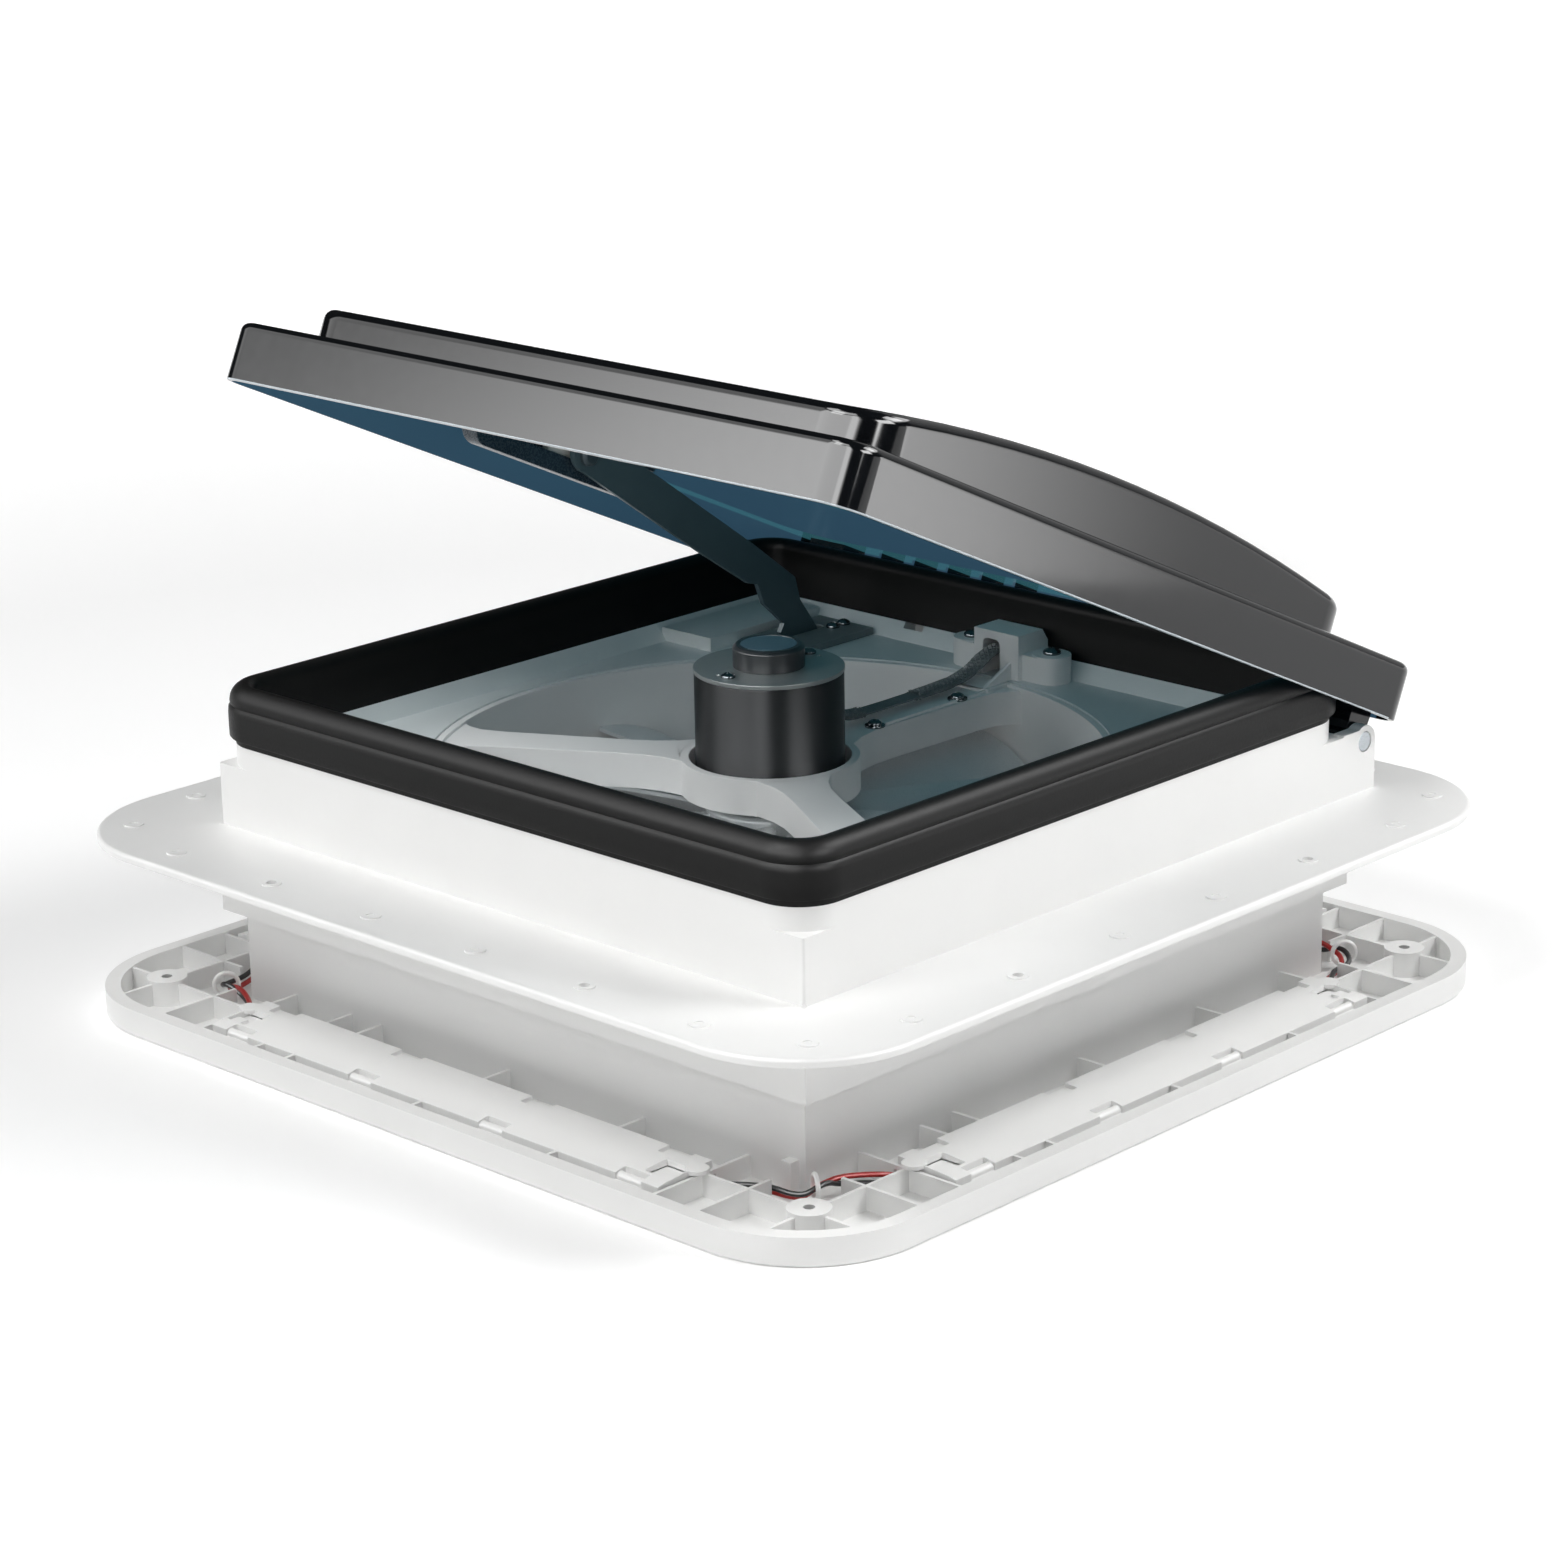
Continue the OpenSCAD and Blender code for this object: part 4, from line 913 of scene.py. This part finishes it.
bpy.ops.mesh.primitive_plane_add(size=stageLook["floorSize"], location=(0, 0, stageLook["floorZ"]))
floor = bpy.context.active_object
floor.name = "studioFloor"
paperSweep = grainedSurface("paperSweepMatte", {
    "colour": stageLook["paper"], "shade": "#fbfbfb", "roughness": 0.9, "spread": 0.02, "grainMm": 3,
    "bump": 0.02, "specular": 0.1, "glow": "#ffffff", "glowStrength": stageLook["paperGlow"]})
tree = paperSweep.node_tree
reach = addNode(tree, "ShaderNodeVectorMath", {"operation": "LENGTH"}, {
    0: addNode(tree, "ShaderNodeTexCoord").outputs["Object"]})
ramp = addNode(tree, "ShaderNodeMapRange", {
    "From Min": stageLook["glowFrom"], "From Max": stageLook["glowTo"], "To Min": stageLook["paperGlow"],
    "To Max": stageLook["farGlow"]}, {"Value": reach.outputs["Value"]})
tree.links.new(ramp.outputs["Result"], tree.nodes["Principled BSDF"].inputs["Emission Strength"])
paint(floor, paperSweep)

# The studio's light is a few soft lobes: where each comes from, how tight and how strong it is. Its
# gloss is a few cards: from and to in degrees round the part from -X over -Y, soft edge, from and to
# above the horizon, soft edge, strength. Angles are counted from the middle one, so that the jump from
# plus to minus half a turn stays clear of the cards
studioLook = {
    "light": 0.02, "lobes": {"left": ((-1, 0.1, 0.35), 3, 1.33), "nearSide": ((0.7, -0.7, 0.35), 4, 0.5)},
    "seen": 1.2, "gloss": 0.01, "middle": 120, "cards": {
        "frontAll": (15, 127, 6, 14, 48, 4, 2.1), "frontRise": (45, 127, 10, 14, 48, 4, 8.8),
        "frontEnd": (117, 127, 5, 4, 48, 4, 4.0), "frontTop": (15, 127, 6, 56, 70, 3, 10.0),
        "sideTop": (200, 262, 8, 28, 44, 4, 8.0), "rightCan": (168, 196, 5, 15, 34, 3, 20.0),
        "backdrop": (250, 290, 20, -10, 40, 10, 0.6)}}


def lobesOf(tree, way, base, lobes):
    total = addNode(tree, "ShaderNodeMath", {"operation": "ADD", 0: base, 1: 0.0}).outputs[0]
    for name, (source, tightness, strength) in lobes.items():
        facing = addNode(tree, "ShaderNodeVectorMath", {
            "operation": "DOT_PRODUCT", 1: Vector(source).normalized()}, {0: way})
        ahead = addNode(tree, "ShaderNodeMath", {"operation": "MAXIMUM", 1: 0.0}, {
            0: facing.outputs["Value"]})
        shaped = addNode(tree, "ShaderNodeMath", {"operation": "POWER", 1: tightness}, {
            0: ahead.outputs[0]})
        total = addNode(tree, "ShaderNodeMath", {"operation": "MULTIPLY_ADD", "label": name, 1: strength},
                        {0: shaped.outputs[0], 2: total}).outputs[0]
    return total


# One soft-edged step: 0 below, 1 above, or the other way round
def softStep(tree, value, at, soft, falling=False):
    ends = {"From Min": at - soft, "From Max": at}
    if falling:
        ends = {"From Min": at, "From Max": at + soft, "To Min": 1, "To Max": 0}
    return addNode(tree, "ShaderNodeMapRange", {"interpolation_type": "SMOOTHSTEP", **ends},
                   {"Value": value}).outputs["Result"]


def cardsOf(tree, way, base, cards):
    parts = []
    middleAngle = studioLook["middle"]
    for angle in (middleAngle, middleAngle + 90):
        away = Vector((-math.cos(math.radians(angle)), -math.sin(math.radians(angle)), 0))
        parts.append(addNode(tree, "ShaderNodeVectorMath", {"operation": "DOT_PRODUCT", 1: away},
                             {0: way}).outputs["Value"])
    turned = addNode(tree, "ShaderNodeMath", {"operation": "ARCTAN2"}, {
        0: parts[1], 1: parts[0]}).outputs[0]
    height = addNode(tree, "ShaderNodeMath", {"operation": "ARCSINE"}, {
        0: addNode(tree, "ShaderNodeSeparateXYZ", {}, {0: way}).outputs["Z"]}).outputs[0]
    total = addNode(tree, "ShaderNodeMath", {"operation": "ADD", 0: base, 1: 0.0}).outputs[0]
    for name, (left, right, soft, low, high, softUp, strength) in cards.items():
        steps = [softStep(tree, turned, math.radians(left - middleAngle), math.radians(soft)),
                 softStep(tree, turned, math.radians(right - middleAngle), math.radians(soft), True),
                 softStep(tree, height, math.radians(low), math.radians(softUp)),
                 softStep(tree, height, math.radians(high), math.radians(softUp), True)]
        shown = steps[0]
        for step in steps[1:]:
            shown = addNode(tree, "ShaderNodeMath", {"operation": "MULTIPLY"}, {
                0: shown, 1: step}).outputs[0]
        total = addNode(tree, "ShaderNodeMath", {"operation": "MULTIPLY_ADD", "label": name, 1: strength},
                        {0: shown, 2: total}).outputs[0]
    return total


world = bpy.data.worlds.new("studioWorld")
bpy.context.scene.world = world
world.use_nodes = True
tree = world.node_tree
tree.nodes.clear()
rays = addNode(tree, "ShaderNodeLightPath")
way = addNode(tree, "ShaderNodeTexCoord").outputs["Generated"]
white = addNode(tree, "ShaderNodeBackground", {"Color": (1, 1, 1, 1)}, {
    "Strength": lobesOf(tree, way, studioLook["light"], studioLook["lobes"])})
cards = addNode(tree, "ShaderNodeBackground", {"Color": (1, 1, 1, 1)}, {
    "Strength": cardsOf(tree, way, studioLook["gloss"], studioLook["cards"])})
both = addNode(tree, "ShaderNodeMixShader", {}, {
    0: rays.outputs["Is Glossy Ray"], 1: white.outputs[0], 2: cards.outputs[0]})
paper = addNode(tree, "ShaderNodeBackground", {"Color": (1, 1, 1, 1), "Strength": studioLook["seen"]})
seen = addNode(tree, "ShaderNodeMixShader", {}, {
    0: rays.outputs["Is Camera Ray"], 1: both.outputs[0], 2: paper.outputs[0]})
addNode(tree, "ShaderNodeOutputWorld", {}, {"Surface": seen.outputs[0]})
bpy.context.scene.view_settings.view_transform = "Standard"

# Soft boxes: place, aim, size, power, whether for sheen alone or for matt light alone, and between which
# parts of its width the light falls to nothing
softBoxes = {
    "key": {"at": (-0.2, -1.3, 1.9), "to": (0, -0.05, 0), "size": (0.8, 0.8), "power": 20},
    "keyRight": {"at": (1.3, 1.0, 1.7), "to": (0, 0, 0), "size": (0.9, 0.9), "power": 34},
    "wellFill": {"at": (-0.5, -1.5, 0.62), "to": (0.02, -0.05, 0.04), "size": (0.6, 0.35), "power": 1.5},
    "underLid": {"at": (-0.05, -0.11, 0.15), "to": (-0.03, -0.07, 0), "size": (0.14, 0.08),
                 "power": 0.035, "matte": True},
    "rightLow": {"at": (0.54, 0.672, 0.09), "to": (-0.08, 0.169, 0.18), "size": (0.7, 0.27), "power": 3.7,
                 "sheen": True, "fade": (0.05, 0.42)},
}
for name, box in softBoxes.items():
    lamp = bpy.data.lights.new(name, "AREA")
    lamp.shape = "RECTANGLE"
    lamp.size, lamp.size_y = box["size"]
    lamp.energy = box["power"]
    if "fade" in box:
        lamp.use_nodes = True
        tree = lamp.node_tree
        tree.nodes.clear()
        across = addNode(tree, "ShaderNodeSeparateXYZ", {}, {
            0: addNode(tree, "ShaderNodeNewGeometry").outputs["Parametric"]})
        fade = softStep(tree, across.outputs["X"], box["fade"][0], box["fade"][1] - box["fade"][0], True)
        glow = addNode(tree, "ShaderNodeEmission", {}, {"Strength": fade})
        addNode(tree, "ShaderNodeOutputLight", {}, {"Surface": glow.outputs["Emission"]})
    holder = bpy.data.objects.new(name, lamp)
    bpy.context.scene.collection.objects.link(holder)
    holder.location = box["at"]
    holder.rotation_euler = (Vector(box["to"]) - Vector(box["at"])).to_track_quat("-Z", "Y").to_euler()
    holder.visible_camera = False
    holder.visible_diffuse = not box.get("sheen", False)
    holder.visible_glossy = not box.get("matte", False)

cameraLook = {"at": (1.220607, -1.281903, 0.575681), "azimuth": 43.611, "down": 17.544, "roll": -0.871,
              "lens": 96.77, "sensor": 36, "clip": (0.05, 50)}
turn, down, roll = (math.radians(cameraLook[k]) for k in ("azimuth", "down", "roll"))
ahead = Vector((-math.sin(turn) * math.cos(down), math.cos(turn) * math.cos(down), -math.sin(down)))
right = Vector((math.cos(turn), math.sin(turn), 0))
up = right.cross(ahead)
rightRolled = right * math.cos(roll) + up * math.sin(roll)
upRolled = up * math.cos(roll) - right * math.sin(roll)
lensData = bpy.data.cameras.new("photoCamera")
lensData.lens = cameraLook["lens"]
lensData.sensor_width = cameraLook["sensor"]
lensData.clip_start, lensData.clip_end = cameraLook["clip"]
camera = bpy.data.objects.new("photoCamera", lensData)
bpy.context.scene.collection.objects.link(camera)
axes = (rightRolled, upRolled, -ahead, Vector(cameraLook["at"]))
camera.matrix_world = Matrix([[axis[row] for axis in axes] for row in range(3)] + [[0, 0, 0, 1]])
bpy.context.scene.camera = camera
print("stage, light and camera set")
